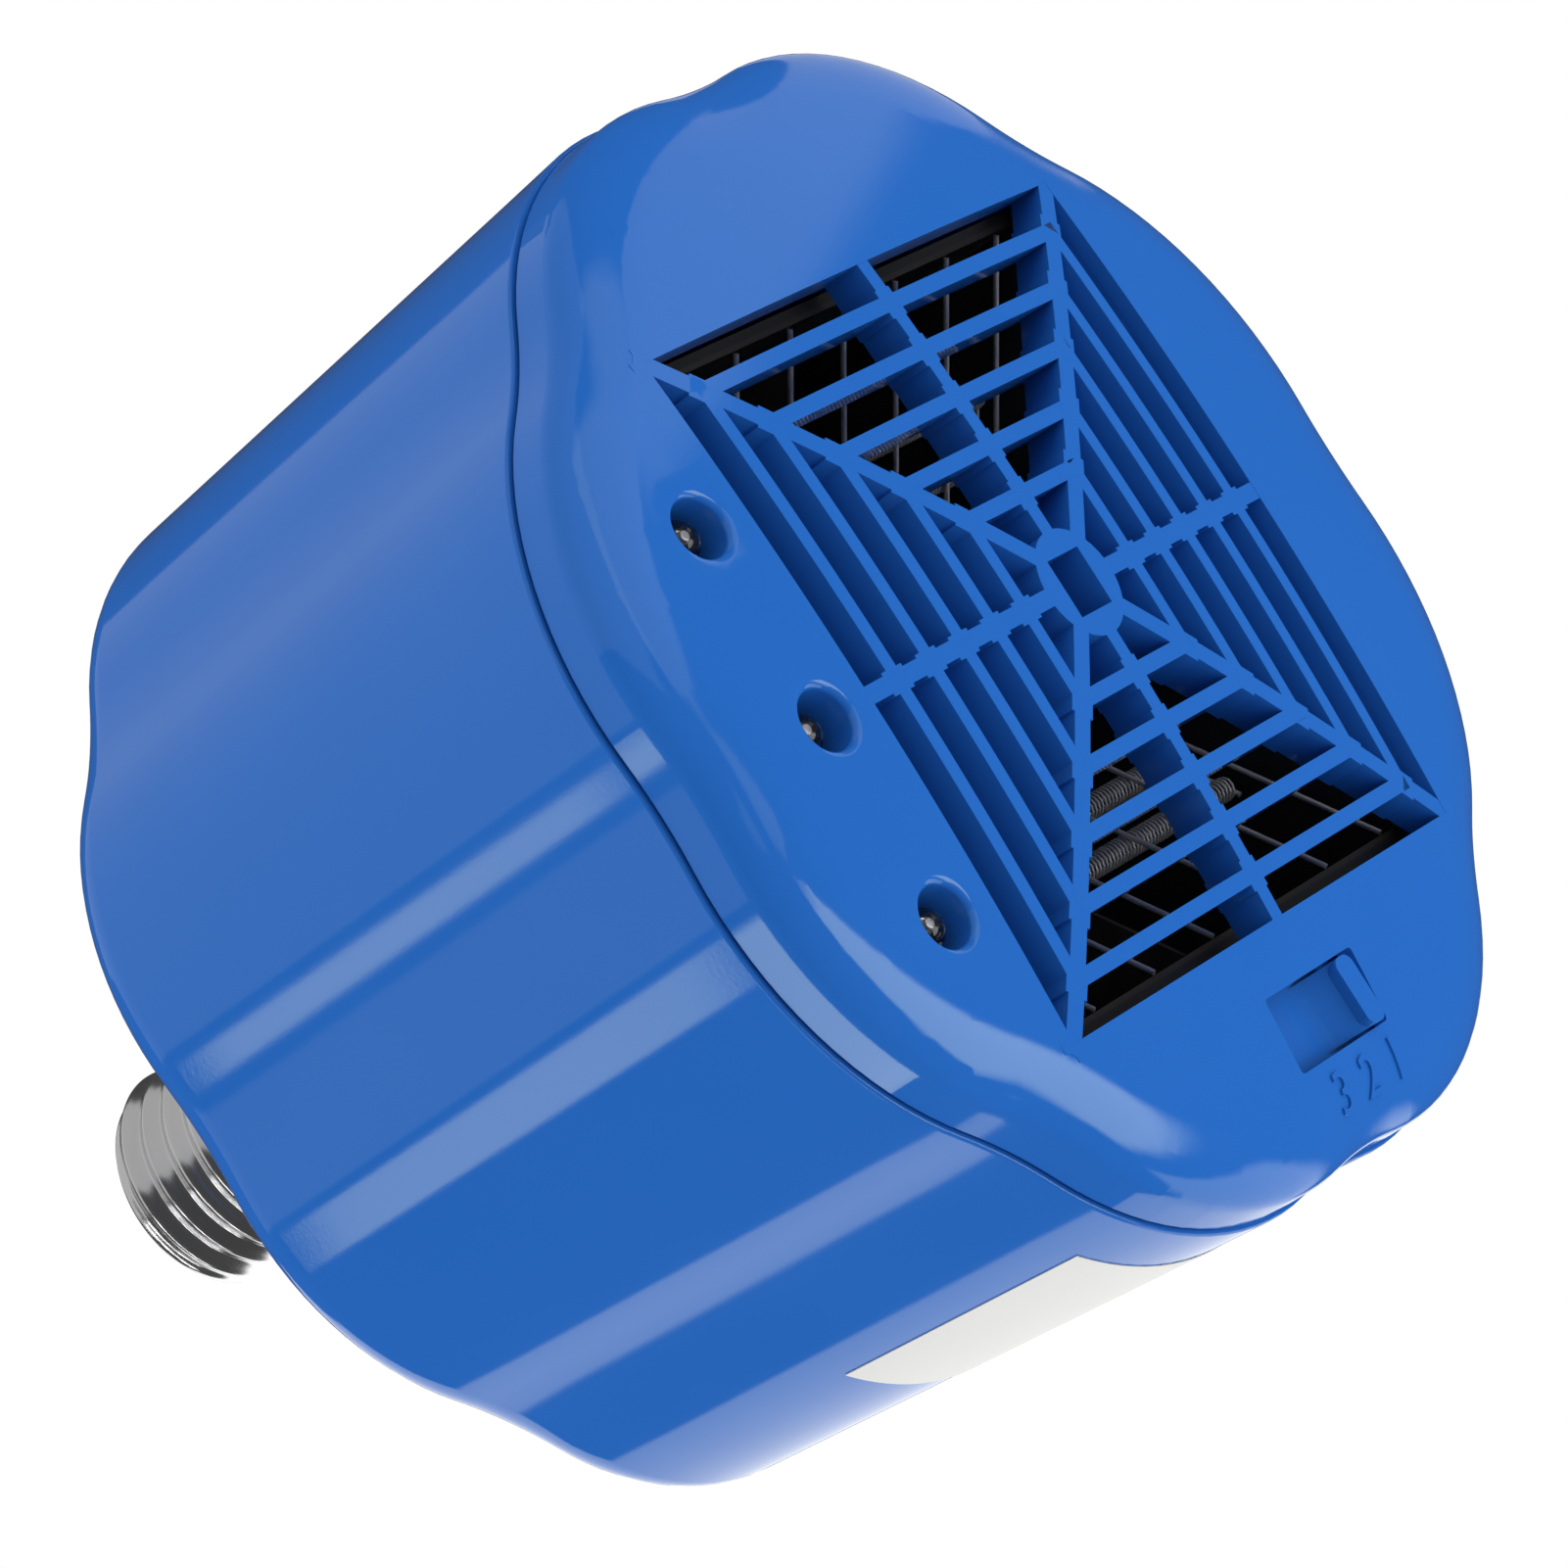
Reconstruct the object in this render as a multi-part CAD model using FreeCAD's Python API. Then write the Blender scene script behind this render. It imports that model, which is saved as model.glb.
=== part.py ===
import FreeCAD, Part
import math
import os
from FreeCAD import Vector

os.makedirs("parts", exist_ok=True)

# A brooder heat lamp that hangs from an E27 socket, in millimetres.
# +Z points up along the lamp's axis, to the socket. The origin is the tip of the end contact.
# The grille faces down. The lamp wells are on the -Y side and the slide switch on the -X side.

# E27 base
thread_crest_radius = 13.15
thread_root_radius = 12.25
thread_pitch = 3.629
thread_turns = 5
first_crest_depth = 7.4
shell_lip_depth = 4.6
shell_lip_radius = 10.2
shell_inner_radius = 11.95
shell_length = 22.6
contact_radius = 4.6
contact_height = 1.6
contact_flat_radius = 3.0

# Housing outline: eight lobes between eight shallow dips, set round what it holds
lobe_count = 8
dip_depth = 2.7
corner_margin = 8.5
boss_inset = 11.0
dip_curve_radius = 51.0

# Housing lengths, along the axis
neck_length = 29.1
tub_length = 78.1
tub_draft = 5.6
tub_corner_radius = 6.8
tub_corner_steps = 5
wall = 2.2
rear_wall = 2.4

# Front cover
cover_height = 9.6
cover_step = 0.5
shadow_gap = 0.5
shoulder_reach = 8.3
shoulder_height = 4.6
shoulder_sweep = 60.0
shoulder_steps = 3
shoulder_rise = 3.1
shoulder_overrun = 1.0
dome_radius = 490.0
dome_rise = 3.1
tongue_height = 3.5
tongue_wall = 1.5
fit_gap = 0.15
seat_gap = 0.2

# Web grille
grille_half = 39.0
rib_count = 5
web_centre_half = 9.75
rib_width = 1.75
diagonal_width = 2.1
median_width = 1.95
rib_depth = 5.5
grille_frame_width = 1.8
hub_radius = 7.2
hub_hole_y = 5.2
hub_hole_x = 5.9

# Lamp wells and diodes
lamp_offset = 6.8
lamp_spacing = 22.1
lamp_bore_radius = 3.7
lamp_tube_wall = 1.7
lamp_tube_depth = 8.0
lamp_rim_radius = 0.9
lamp_radius = 2.5
lamp_recess = 3.2
lamp_length = 8.6
lamp_dome_steps = 5
lamp_flange = 0.4

# Slide switch
switch_offset = 10.5
slot_length = 18.0
slot_width = 8.3
switch_step = 4.0
nub_length = 7.4
nub_ridge = 3.0
nub_proud = 0.6
nub_side_gap = 0.3
nub_slope_steps = 5
slider_overlap = 0.6
slider_width = 10.4
slider_thickness = 1.5
slider_gap = 0.5
slider_side_gap = 0.2
guide_width = 1.2
lever_size = 3.0
lever_gap = 0.3
lever_length = 4.4
lever_entry = 1.6
case_length = 22.0
case_width = 9.0
case_depth = 4.9
tag_count = 4
tag_pitch = 4.0
tag_width = 1.2
tag_thickness = 0.5
tag_length = 3.4

# Cover screws in deep wells
boss_radius = 4.2
boss_gap = 0.8
boss_board_gap = 1.8
well_radius = 3.4
screw_head_radius = 3.0
screw_head_height = 2.2
screw_radius = 1.45
screw_clearance = 0.05
screw_hole_radius = 1.9
screw_length = 16.0
boss_top_height = 9.0
seat_floor = 4.2

# Air inlet slots round the neck
slot_count = 16
inlet_inner_radius = 20.5
inlet_outer_radius = 36.0
inlet_width = 3.2

# Neck
neck_radius = 14.2
neck_flare = 3.0
neck_bore_radius = 9.0
spigot_clearance = 0.15
spigot_length = 15.4

# Axial fan
fan_inset = 4.0
fan_depth = 15.0
fan_rim = 2.5
fan_hole_edge = 5.0
fan_hole_radius = 2.2
fan_standoff = 7.5
fan_post_radius = 3.6
hub_outer_radius = 14.0
hub_wall = 1.2
blade_count = 7
blade_tip_gap = 1.1
blade_root_angle = 48.0
blade_tip_angle = 30.0
blade_chord = 13.0
blade_thickness = 1.1
shaft_radius = 1.5
bearing_clearance = 0.05
bearing_wall = 1.3
stator_radius = 10.6
magnet_thickness = 1.15

# Heater duct and mica boards
duct_sheet = 1.0
duct_opening_gap = 0.5
plate_hole_radius = 1.9
mica_thickness = 0.6
mica_rear_depth = 4.4
liner_depth = 24.0

# Heater coils on their wire cradle
support_wire_radius = 0.3
support_slope = 0.785
support_front_depth = 6.2
right_support_inset = 2.5
right_support_pitch = 10.3
left_support_inset = 1.7
left_support_pitch = 12.1
last_support_inset = 1.2
coil_radius = 1.4
coil_wall = 0.3
coil_end_gap = 4.0
inner_coil_x = 18.9
outer_coil_x = 24.5
cutout_radius = 7.0
cutout_height = 4.5
fuse_radius = 2.0
fuse_length = 12.0

# Boards and their small screws
board_thickness = 1.6
post_radius = 2.0
small_screw_radius = 0.9
small_head_radius = 2.1
small_head_height = 1.4
lamp_board_end = 6.9
lamp_board_width = 9.0
switch_post_gap = 0.4
switch_board_end = 3.0
power_board_half = 24.0
power_board_height = 37.5
power_board_gap = 3.0
rail_size = 4.0
capacitor_radius = 5.0
capacitor_length = 10.5
rectifier_size = 8.0
rectifier_depth = 3.6

# Leads
lead_radius = 1.0
lead_hole_radius = 1.2
neutral_lead_x = 4.5
lead_bend = 4.0
lead_depth = 3.7
insulator_length = 9.0
insulator_shoulder_radius = 10.0
insulator_gap = 0.15
lamp_leg_radius = 0.25
lamp_leg_spacing = 2.54
lamp_leg_length = 3.0
leg_hole_radius = 0.4
stator_length = 7.0
stator_gap = 0.05
stator_notch_radius = 2.2
rotor_depth = 10.5
rotor_rear_gap = 1.0
fan_arm_thickness = 2.5
fan_arm_width = 4.0
fan_corner_radius = 3.0
shaft_end_wall = 0.7
shaft_end_gap = 0.2
rotor_boss_radius = 3.0
rotor_boss_length = 1.2

# Sizes that follow from the ones above
duct_outer_half = grille_half
duct_inner_half = duct_outer_half - duct_sheet
rib_pitch = (grille_half - web_centre_half) / rib_count
fan_size = 2 * (duct_outer_half - fan_inset)
fan_bore_radius = fan_size / 2 - fan_rim
fan_hole_pitch = fan_size - 2 * fan_hole_edge
duct_opening_radius = fan_bore_radius + duct_opening_gap
coil_half_length = duct_inner_half - coil_end_gap
lamp_y = -(grille_half + lamp_offset)
lamp_board_half = lamp_spacing + lamp_board_end
lamp_post_x = lamp_spacing / 2
switch_x = -(grille_half + switch_offset)
slider_half_length = slot_length / 2 + switch_step + slider_overlap
guide_half_length = slider_half_length + switch_step
switch_post_y = guide_half_length + post_radius + switch_post_gap
switch_board_half = switch_post_y + switch_board_end
power_board_y = duct_outer_half + power_board_gap
boss_x = duct_outer_half + boss_gap + boss_radius
boss_y = switch_board_half + boss_board_gap + boss_radius
dip_radius = max(math.hypot(boss_x, boss_y) + boss_inset, duct_outer_half * math.sqrt(2) + corner_margin)
lobe_radius = dip_radius + dip_depth
lobe_step = 360.0 / lobe_count

# Places along the axis
neck_top_z = -(shell_lip_depth + shell_length)
rear_z = neck_top_z - neck_length
rear_inner_z = rear_z - rear_wall
parting_z = rear_z - tub_length
corner_z = parting_z - cover_height
dome_low_z = corner_z - dome_rise
dome_centre_z = dome_low_z + dome_radius
spigot_top_z = neck_top_z + spigot_length
fan_rear_z = rear_inner_z - fan_standoff
fan_front_z = fan_rear_z - fan_depth
boss_top_z = parting_z + boss_top_height
screw_seat_z = boss_top_z + seat_gap + seat_floor
rib_back_z = corner_z + rib_depth
duct_front_z = rib_back_z + seat_gap
plate_front_z = fan_front_z - duct_sheet
rotor_rear_z = fan_rear_z - rotor_rear_gap
rotor_front_z = rotor_rear_z - rotor_depth
arm_top_z = fan_front_z + fan_arm_thickness
shaft_low_z = fan_front_z + shaft_end_wall + shaft_end_gap
bearing_radius = shaft_radius + bearing_clearance


def block(x_low, x_high, y_low, y_high, z_low, z_high):
    return Part.makeBox(x_high - x_low, y_high - y_low, z_high - z_low, Vector(x_low, y_low, z_low))


def rod(radius, z_low, z_high, x=0.0, y=0.0):
    return Part.makeCylinder(radius, z_high - z_low, Vector(x, y, z_low))


def rod_between(radius, start, end):
    return Part.makeCylinder(radius, (end - start).Length, start, end - start)


def ring(outer_radius, inner_radius, z_low, z_high, x=0.0, y=0.0):
    return rod(outer_radius, z_low, z_high, x, y).cut(rod(inner_radius, z_low, z_high, x, y))


def turned(points):
    """Revolve a closed profile of (radius, z) points about the Z axis."""
    profile = Part.makePolygon([Vector(r, 0, z) for r, z in points + points[:1]])
    return Part.Face(profile).revolve(Vector(0, 0, 0), Vector(0, 0, 1), 360)


def joined(shapes):
    """Fuse a list of touching shapes into one clean solid."""
    return shapes[0].multiFuse(shapes[1:]).removeSplitter()


def save(node, shape):
    shape.exportStep("parts/%s.step" % node)


def polar(radius, degrees, z=0.0):
    angle = math.radians(degrees)
    return Vector(radius * math.cos(angle), radius * math.sin(angle), z)


def at_corners(half_x, half_y):
    return [(sx * half_x, sy * half_y) for sx in (1, -1) for sy in (1, -1)]


def dome_z(x, y, inset=0.0):
    """Height of the dome's face at a place, or of the sphere that lies inset within it."""
    return dome_centre_z - math.sqrt((dome_radius - inset) ** 2 - x * x - y * y)


# Places in plan, and the heights that the boards hang at
fan_places = at_corners(fan_hole_pitch / 2, fan_hole_pitch / 2)
boss_places = at_corners(boss_x, boss_y)
lamp_places = [(k * lamp_spacing, lamp_y) for k in (-1, 0, 1)]
lamp_tip_z = dome_z(lamp_spacing, lamp_y) + lamp_recess
lamp_board_z = lamp_tip_z + lamp_length
slider_low_z = corner_z + wall + slider_gap
slider_top_z = slider_low_z + slider_thickness
case_low_z = slider_top_z + lever_length
switch_board_z = case_low_z + case_depth
board_posts = [(side * lamp_post_x, lamp_y, lamp_board_z) for side in (1, -1)]
board_posts += [(switch_x, side * switch_post_y, switch_board_z) for side in (1, -1)]
power_board_top_z = rear_inner_z - seat_gap
power_board_low_z = power_board_top_z - power_board_height
lead_z = rear_inner_z - lead_depth

# Each lobe arc meets the dip arcs beside it in a tangent, so one length fixes the lobe's centre.
dip_centre = dip_radius + dip_curve_radius
half_step = math.radians(lobe_step / 2)
lobe_centre = ((lobe_radius + dip_curve_radius) ** 2 - dip_centre ** 2) / (
    2 * (lobe_radius + dip_curve_radius) - 2 * dip_centre * math.cos(half_step))
lobe_curve_radius = lobe_radius - lobe_centre


def lobed_wire(inset, z):
    """The housing's outline, moved inwards by inset, as tangent arcs."""

    def tangent_point(lobe_angle, dip_angle):
        centre = polar(lobe_centre, lobe_angle, z)
        direction = polar(dip_centre, dip_angle, z) - centre
        return centre + direction.normalize() * (lobe_curve_radius - inset)

    edges = []
    for k in range(lobe_count):
        lobe_angle = (k + 0.5) * lobe_step
        dip_angle = (k + 1) * lobe_step
        start = tangent_point(lobe_angle, dip_angle - lobe_step)
        end = tangent_point(lobe_angle, dip_angle)
        following = tangent_point(lobe_angle + lobe_step, dip_angle)
        edges.append(Part.Arc(start, polar(lobe_radius - inset, lobe_angle, z), end).toShape())
        edges.append(Part.Arc(end, polar(dip_radius - inset, dip_angle, z), following).toShape())
    return Part.Wire(edges)


def lobed_stack(rings):
    """A solid with straight faces between outlines, given as (inset, z) rings."""
    return Part.makeLoft([lobed_wire(inset, z) for inset, z in rings], True, True)


def lobed_prism(inset, z_low, z_high):
    return Part.Face(lobed_wire(inset, z_low)).extrude(Vector(0, 0, z_high - z_low))


def tub_inset(z):
    """How far the drafted wall has moved inwards at a height."""
    return tub_draft * (z - parting_z) / tub_length


def tub_solid(inset, z_top, corner_radius):
    """The tub's form, moved inwards by inset, with its rear corner rounded in steps."""
    rings = [(inset, parting_z)]
    centre_z = z_top - corner_radius
    start = inset + tub_inset(centre_z)
    for k in range(tub_corner_steps + 1):
        angle = math.radians(90.0 * k / tub_corner_steps)
        rings.append((start + corner_radius * (1 - math.cos(angle)),
                      centre_z + corner_radius * math.sin(angle)))
    return lobed_stack(rings)


def inlet_slot(angle):
    """One round-ended radial air slot through the rear wall."""
    low, high = rear_inner_z - 1, rear_z + 1
    slot = block(inlet_inner_radius, inlet_outer_radius, -inlet_width / 2, inlet_width / 2, low, high)
    slot = joined([slot, rod(inlet_width / 2, low, high, inlet_inner_radius),
                   rod(inlet_width / 2, low, high, inlet_outer_radius)])
    slot.rotate(Vector(0, 0, 0), Vector(0, 0, 1), angle)
    return slot


def board_rail(side):
    """A grooved rail that holds one edge of the power board."""
    inner = side * (power_board_half - rail_size / 2)
    outer = side * (power_board_half + rail_size / 2)
    x_low, x_high = min(inner, outer), max(inner, outer)
    y_low = power_board_y - rail_size / 2
    y_high = power_board_y + board_thickness + rail_size / 2
    z_low = power_board_low_z
    rail = block(x_low, x_high, y_low, y_high, z_low, rear_inner_z + rear_wall / 2)
    edge = power_board_half + fit_gap
    groove = block(-edge, edge, power_board_y - fit_gap, power_board_y + board_thickness + fit_gap,
                   z_low, rear_inner_z)
    return rail.cut(groove)


def body_shell():
    cavity = tub_solid(wall, rear_inner_z, tub_corner_radius - wall)
    flare_radius = neck_radius + neck_flare
    spigot_radius = shell_inner_radius - spigot_clearance
    neck = turned([(0, rear_inner_z), (flare_radius, rear_inner_z), (flare_radius, rear_z),
                   (neck_radius, rear_z + neck_flare), (neck_radius, neck_top_z),
                   (spigot_radius, neck_top_z), (spigot_radius, spigot_top_z), (0, spigot_top_z)])
    shell = tub_solid(0.0, rear_z, tub_corner_radius).cut(cavity)
    posts = [rod(fan_post_radius, fan_rear_z, rear_z - rear_wall / 2, x, y) for x, y in fan_places]
    wells = [rod(boss_radius, boss_top_z + seat_gap, rear_z - rear_wall / 2, x, y) for x, y in boss_places]
    shell = joined([shell, neck] + posts + wells + [board_rail(1), board_rail(-1)])
    cuts = [rod(neck_bore_radius, rear_inner_z - 1, spigot_top_z + 1)]
    cuts += [rod(well_radius, screw_seat_z, rear_z + 1, x, y) for x, y in boss_places]
    cuts += [rod(screw_hole_radius, boss_top_z, screw_seat_z + 1, x, y) for x, y in boss_places]
    cuts += [rod(screw_radius + screw_clearance, fan_rear_z - 1, rear_inner_z, x, y) for x, y in fan_places]
    cuts += [inlet_slot(360.0 * (k + 0.5) / slot_count) for k in range(slot_count)]
    return shell.cut(cuts)


def dome_ball(depth):
    """The ball whose lowest part is the dome's face, or one that lies depth within it.

    Its poles are on the Y axis, so that neither they nor its seam meet the cover.
    """
    return Part.makeSphere(dome_radius - depth, Vector(0, 0, dome_centre_z), Vector(0, 1, 0))


def cover_solid(inset, depth, z_top):
    """The cover's form, moved inwards by inset at its side and by depth at its dome.

    Its shoulder is part of an ellipse in steps, and the dome cuts the last of them.
    """
    reach, height = shoulder_reach - inset, shoulder_height - inset
    side, centre_z = cover_step + inset, dome_low_z + depth + shoulder_rise + height
    rings = [(side, z_top)]
    for k in range(shoulder_steps + 1):
        angle = math.radians(shoulder_sweep * k / shoulder_steps)
        rings.append((side + reach * (1 - math.cos(angle)), centre_z - height * math.sin(angle)))
    rings.append((side + reach, centre_z - height - shoulder_overrun))
    return lobed_stack(rings).common(dome_ball(depth))


def web_bars():
    """The web in plan: square rings, two diagonals, a cross and the hub."""
    low, high = dome_low_z - 1, corner_z + rib_depth + 2
    bars = []
    for k in range(rib_count):
        outer = grille_half - (k + 1) * rib_pitch + rib_width
        inner = outer - rib_width
        square = block(-outer, outer, -outer, outer, low, high)
        bars.append(square.cut(block(-inner, inner, -inner, inner, low, high)))
    reach = grille_half + grille_frame_width / 2
    corner_reach = reach * math.sqrt(2)
    cross = block(-reach, reach, -median_width / 2, median_width / 2, low, high)
    diagonal = block(-corner_reach, corner_reach, -diagonal_width / 2, diagonal_width / 2, low, high)
    for angle, bar in ((0, cross), (90, cross), (45, diagonal), (135, diagonal)):
        turned_bar = bar.copy()
        turned_bar.rotate(Vector(0, 0, 0), Vector(0, 0, 1), angle)
        bars.append(turned_bar)
    bars.append(rod(hub_radius, low, high))
    return bars


def grille():
    low, high = dome_low_z - 1, corner_z + rib_depth + 2
    frame_half = grille_half + grille_frame_width
    frame = block(-frame_half, frame_half, -frame_half, frame_half, low, high)
    frame = frame.cut(block(-grille_half, grille_half, -grille_half, grille_half, low, high))
    field = block(-frame_half, frame_half, -frame_half, frame_half, low, high)
    web = joined([frame] + web_bars()).common(field)
    hole = block(-hub_hole_x / 2, hub_hole_x / 2, -hub_hole_y / 2, hub_hole_y / 2, low, high)
    return web.cut(hole).common(dome_ball(0.0)).cut(dome_ball(rib_depth))


def front_cover():
    top = parting_z - shadow_gap
    shell = cover_solid(0.0, 0.0, top)
    cavity = cover_solid(wall, wall, top)
    tongue_outer = wall + tub_inset(parting_z + tongue_height) + fit_gap
    tongue_inner = tongue_outer + tongue_wall
    tongue = lobed_prism(tongue_outer, top - wall, parting_z + tongue_height)
    tongue = tongue.cut(lobed_prism(tongue_inner, top - wall, parting_z + tongue_height))
    ledge = lobed_prism(cover_step, top - wall, top).cut(lobed_prism(tongue_inner, top - wall, top))
    opening = block(-grille_half, grille_half, -grille_half, grille_half, dome_low_z - 1, rib_back_z)
    shell = shell.cut(cavity).cut(opening)
    guide_low = dome_z(switch_x, slot_length, wall / 2)
    guide_inner = slider_width / 2 + slider_side_gap
    guides = [block(switch_x + side - guide_width / 2, switch_x + side + guide_width / 2,
                    -guide_half_length, guide_half_length, guide_low, slider_top_z)
              for side in (guide_inner + guide_width / 2, -guide_inner - guide_width / 2)]
    tube_radius = lamp_bore_radius + lamp_tube_wall
    tubes = [rod(tube_radius, dome_z(x, y, wall / 2), dome_z(x, y, lamp_tube_depth), x, y)
             for x, y in lamp_places]
    bosses = [rod(boss_radius, dome_z(x, y, wall / 2), boss_top_z, x, y) for x, y in boss_places]
    posts = [rod(post_radius, dome_z(x, y, wall / 2), z - seat_gap / 2, x, y) for x, y, z in board_posts]
    shell = joined([shell, tongue, ledge, grille()] + guides + tubes + bosses + posts)
    cuts = [lamp_bore(x, y) for x, y in lamp_places]
    cuts += [rod(screw_radius + screw_clearance, dome_z(x, y, 2 * wall), boss_top_z + 1, x, y)
             for x, y in boss_places]
    cuts += [rod(small_screw_radius + screw_clearance, dome_z(x, y, 2 * wall), z + 1, x, y)
             for x, y, z in board_posts]
    cuts.append(block(switch_x - slot_width / 2, switch_x + slot_width / 2,
                      -slot_length / 2, slot_length / 2, dome_low_z - 1, corner_z + 2 * wall))
    return shell.cut(cuts)


def lamp_bore(x, y):
    """A lamp well's bore with its softened mouth, as a cutting tool."""
    face = dome_z(x, y)
    mouth = lamp_bore_radius + lamp_rim_radius
    tool = turned([(0, dome_low_z - 1), (mouth, dome_low_z - 1), (mouth, face),
                   (lamp_bore_radius + 0.3 * lamp_rim_radius, face + 0.3 * lamp_rim_radius),
                   (lamp_bore_radius, face + lamp_rim_radius), (lamp_bore_radius, boss_top_z),
                   (0, boss_top_z)])
    tool.translate(Vector(x, y, 0))
    return tool


def screw_shell():
    """Rolled shell of the E27 base, with its crests where a thread's would be."""
    outer = [(shell_lip_radius, -shell_lip_depth), (shell_inner_radius, -shell_lip_depth - 0.5)]
    crest_half = 0.14 * thread_pitch
    for k in range(thread_turns):
        crest = -first_crest_depth - k * thread_pitch
        outer += [(thread_root_radius, crest + thread_pitch / 2), (thread_crest_radius, crest + crest_half),
                  (thread_crest_radius, crest - crest_half)]
    last_root_z = -first_crest_depth - (thread_turns - 0.5) * thread_pitch
    outer += [(thread_root_radius, last_root_z), (thread_crest_radius, neck_top_z)]
    inner = [(shell_inner_radius, neck_top_z), (shell_inner_radius, -shell_lip_depth - 1.1),
             (shell_lip_radius, -shell_lip_depth - 0.6)]
    return turned(outer + inner)


def base_insulator():
    skirt = shell_inner_radius - insulator_gap
    shoulder = -shell_lip_depth - 1.1 - insulator_gap
    return turned([(lead_hole_radius, -contact_height), (contact_radius + 1, -contact_height),
                   (insulator_shoulder_radius, -shell_lip_depth), (insulator_shoulder_radius, shoulder),
                   (skirt, shoulder), (skirt, -insulator_length), (lead_hole_radius, -insulator_length)])


def centre_contact():
    return turned([(0, 0), (contact_flat_radius, 0), (contact_radius, -0.6 * contact_height),
                   (contact_radius, -contact_height), (0, -contact_height)])


def lead(points):
    """A round lead through the given points, with a true bend at each inner one."""
    pieces = []
    start = points[0]
    for k in range(1, len(points) - 1):
        inward = (points[k] - points[k - 1]).normalize()
        outward = (points[k + 1] - points[k]).normalize()
        entry = points[k] - inward * lead_bend
        pieces.append(rod_between(lead_radius, start, entry))
        disc = Part.Face(Part.Wire(Part.makeCircle(lead_radius, entry, inward)))
        pieces.append(disc.revolve(entry + outward * lead_bend, inward.cross(outward), 90))
        start = points[k] + outward * lead_bend
    pieces.append(rod_between(lead_radius, start, points[-1]))
    return joined(pieces)


def live_lead():
    return lead([Vector(0, 0, -contact_height), Vector(0, 0, lead_z), Vector(0, power_board_y, lead_z)])


def neutral_lead():
    height = (spigot_top_z - insulator_length) / 2
    reach = math.sqrt(shell_inner_radius ** 2 - lead_radius ** 2)
    return lead([Vector(reach, 0, height), Vector(neutral_lead_x, 0, height),
                 Vector(neutral_lead_x, 0, lead_z), Vector(neutral_lead_x, power_board_y, lead_z)])


def fan_frame():
    half = fan_size / 2
    frame = block(-half, half, -half, half, fan_front_z, fan_rear_z)
    corners = [e for e in frame.Edges if abs(e.Vertexes[0].Point.z - e.Vertexes[1].Point.z) > fan_depth / 2]
    frame = frame.makeFillet(fan_corner_radius, corners)
    frame = frame.cut(rod(fan_bore_radius, fan_front_z - 1, fan_rear_z + 1))
    reach = fan_bore_radius + 1
    arms = []
    for angle in (45, 135):
        arm = block(-reach, reach, -fan_arm_width / 2, fan_arm_width / 2, fan_front_z, arm_top_z)
        arm.rotate(Vector(0, 0, 0), Vector(0, 0, 1), angle)
        arms.append(arm)
    hub = rod(hub_outer_radius, fan_front_z, arm_top_z)
    tube_top = rotor_rear_z - hub_wall - rotor_boss_length - seat_gap
    bearing = rod(bearing_radius + bearing_wall, fan_front_z, tube_top)
    frame = joined([frame, hub, bearing] + arms)
    cuts = [rod(fan_hole_radius, fan_front_z - 1, fan_rear_z + 1, x, y) for x, y in fan_places]
    cuts.append(rod(bearing_radius, fan_front_z + shaft_end_wall, tube_top + 1))
    return frame.cut(cuts)


def blade_section(radius, angle, z):
    """A blade's flat section at a radius, turned to its pitch angle."""
    a = math.radians(angle)
    along, across = blade_chord / 2, blade_thickness / 2
    corners = [(along, across), (-along, across), (-along, -across), (along, -across), (along, across)]
    points = [Vector(radius, p * math.cos(a) - q * math.sin(a), z + p * math.sin(a) + q * math.cos(a))
              for p, q in corners]
    return Part.makePolygon(points)


def fan_rotor():
    inner_radius = hub_outer_radius - hub_wall - magnet_thickness
    floor_z = rotor_rear_z - hub_wall
    boss_low_z = floor_z - rotor_boss_length
    cup = turned([(shaft_radius, rotor_rear_z), (hub_outer_radius, rotor_rear_z),
                  (hub_outer_radius, rotor_front_z), (inner_radius, rotor_front_z), (inner_radius, floor_z),
                  (rotor_boss_radius, floor_z), (rotor_boss_radius, boss_low_z), (shaft_radius, boss_low_z)])
    middle = (rotor_rear_z + rotor_front_z) / 2
    blade = Part.makeLoft([blade_section(hub_outer_radius - hub_wall, blade_root_angle, middle),
                           blade_section(fan_bore_radius + 1, blade_tip_angle, middle)], True, True)
    blade = blade.common(rod(fan_bore_radius - blade_tip_gap, rotor_front_z, rotor_rear_z))
    blades = []
    for k in range(blade_count):
        copy = blade.copy()
        copy.rotate(Vector(0, 0, 0), Vector(0, 0, 1), 360.0 * k / blade_count)
        blades.append(copy)
    return joined([cup] + blades)


def fan_shaft():
    return rod(shaft_radius, shaft_low_z, rotor_rear_z)


def fan_stator():
    low, top = arm_top_z + stator_gap, arm_top_z + stator_length
    core = ring(stator_radius, bearing_radius + bearing_wall + stator_gap, low, top)
    notches = [rod(stator_notch_radius, low - 1, top + 1, x, y)
               for x, y in at_corners(stator_radius / math.sqrt(2), stator_radius / math.sqrt(2))]
    return core.cut(notches)


def screw(x, y, seat_z, up, head_radius, head_height, radius, length):
    """A pan-head screw on its seat, with the head above it if up is 1 and below it if -1."""
    head = Part.makeCylinder(head_radius, head_height, Vector(x, y, seat_z), Vector(0, 0, up))
    shank = Part.makeCylinder(radius, length, Vector(x, y, seat_z), Vector(0, 0, -up))
    floor_z, top_z = seat_z + up * 0.4 * head_height, seat_z + up * head_height
    low, high = min(floor_z, top_z), max(floor_z, top_z)
    reach, half = 0.6 * head_radius, 0.15 * head_radius
    cross = block(x - reach, x + reach, y - half, y + half, low, high)
    cross = cross.fuse(block(x - half, x + half, y - reach, y + reach, low, high))
    return head.fuse(shank).cut(cross)


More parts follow.
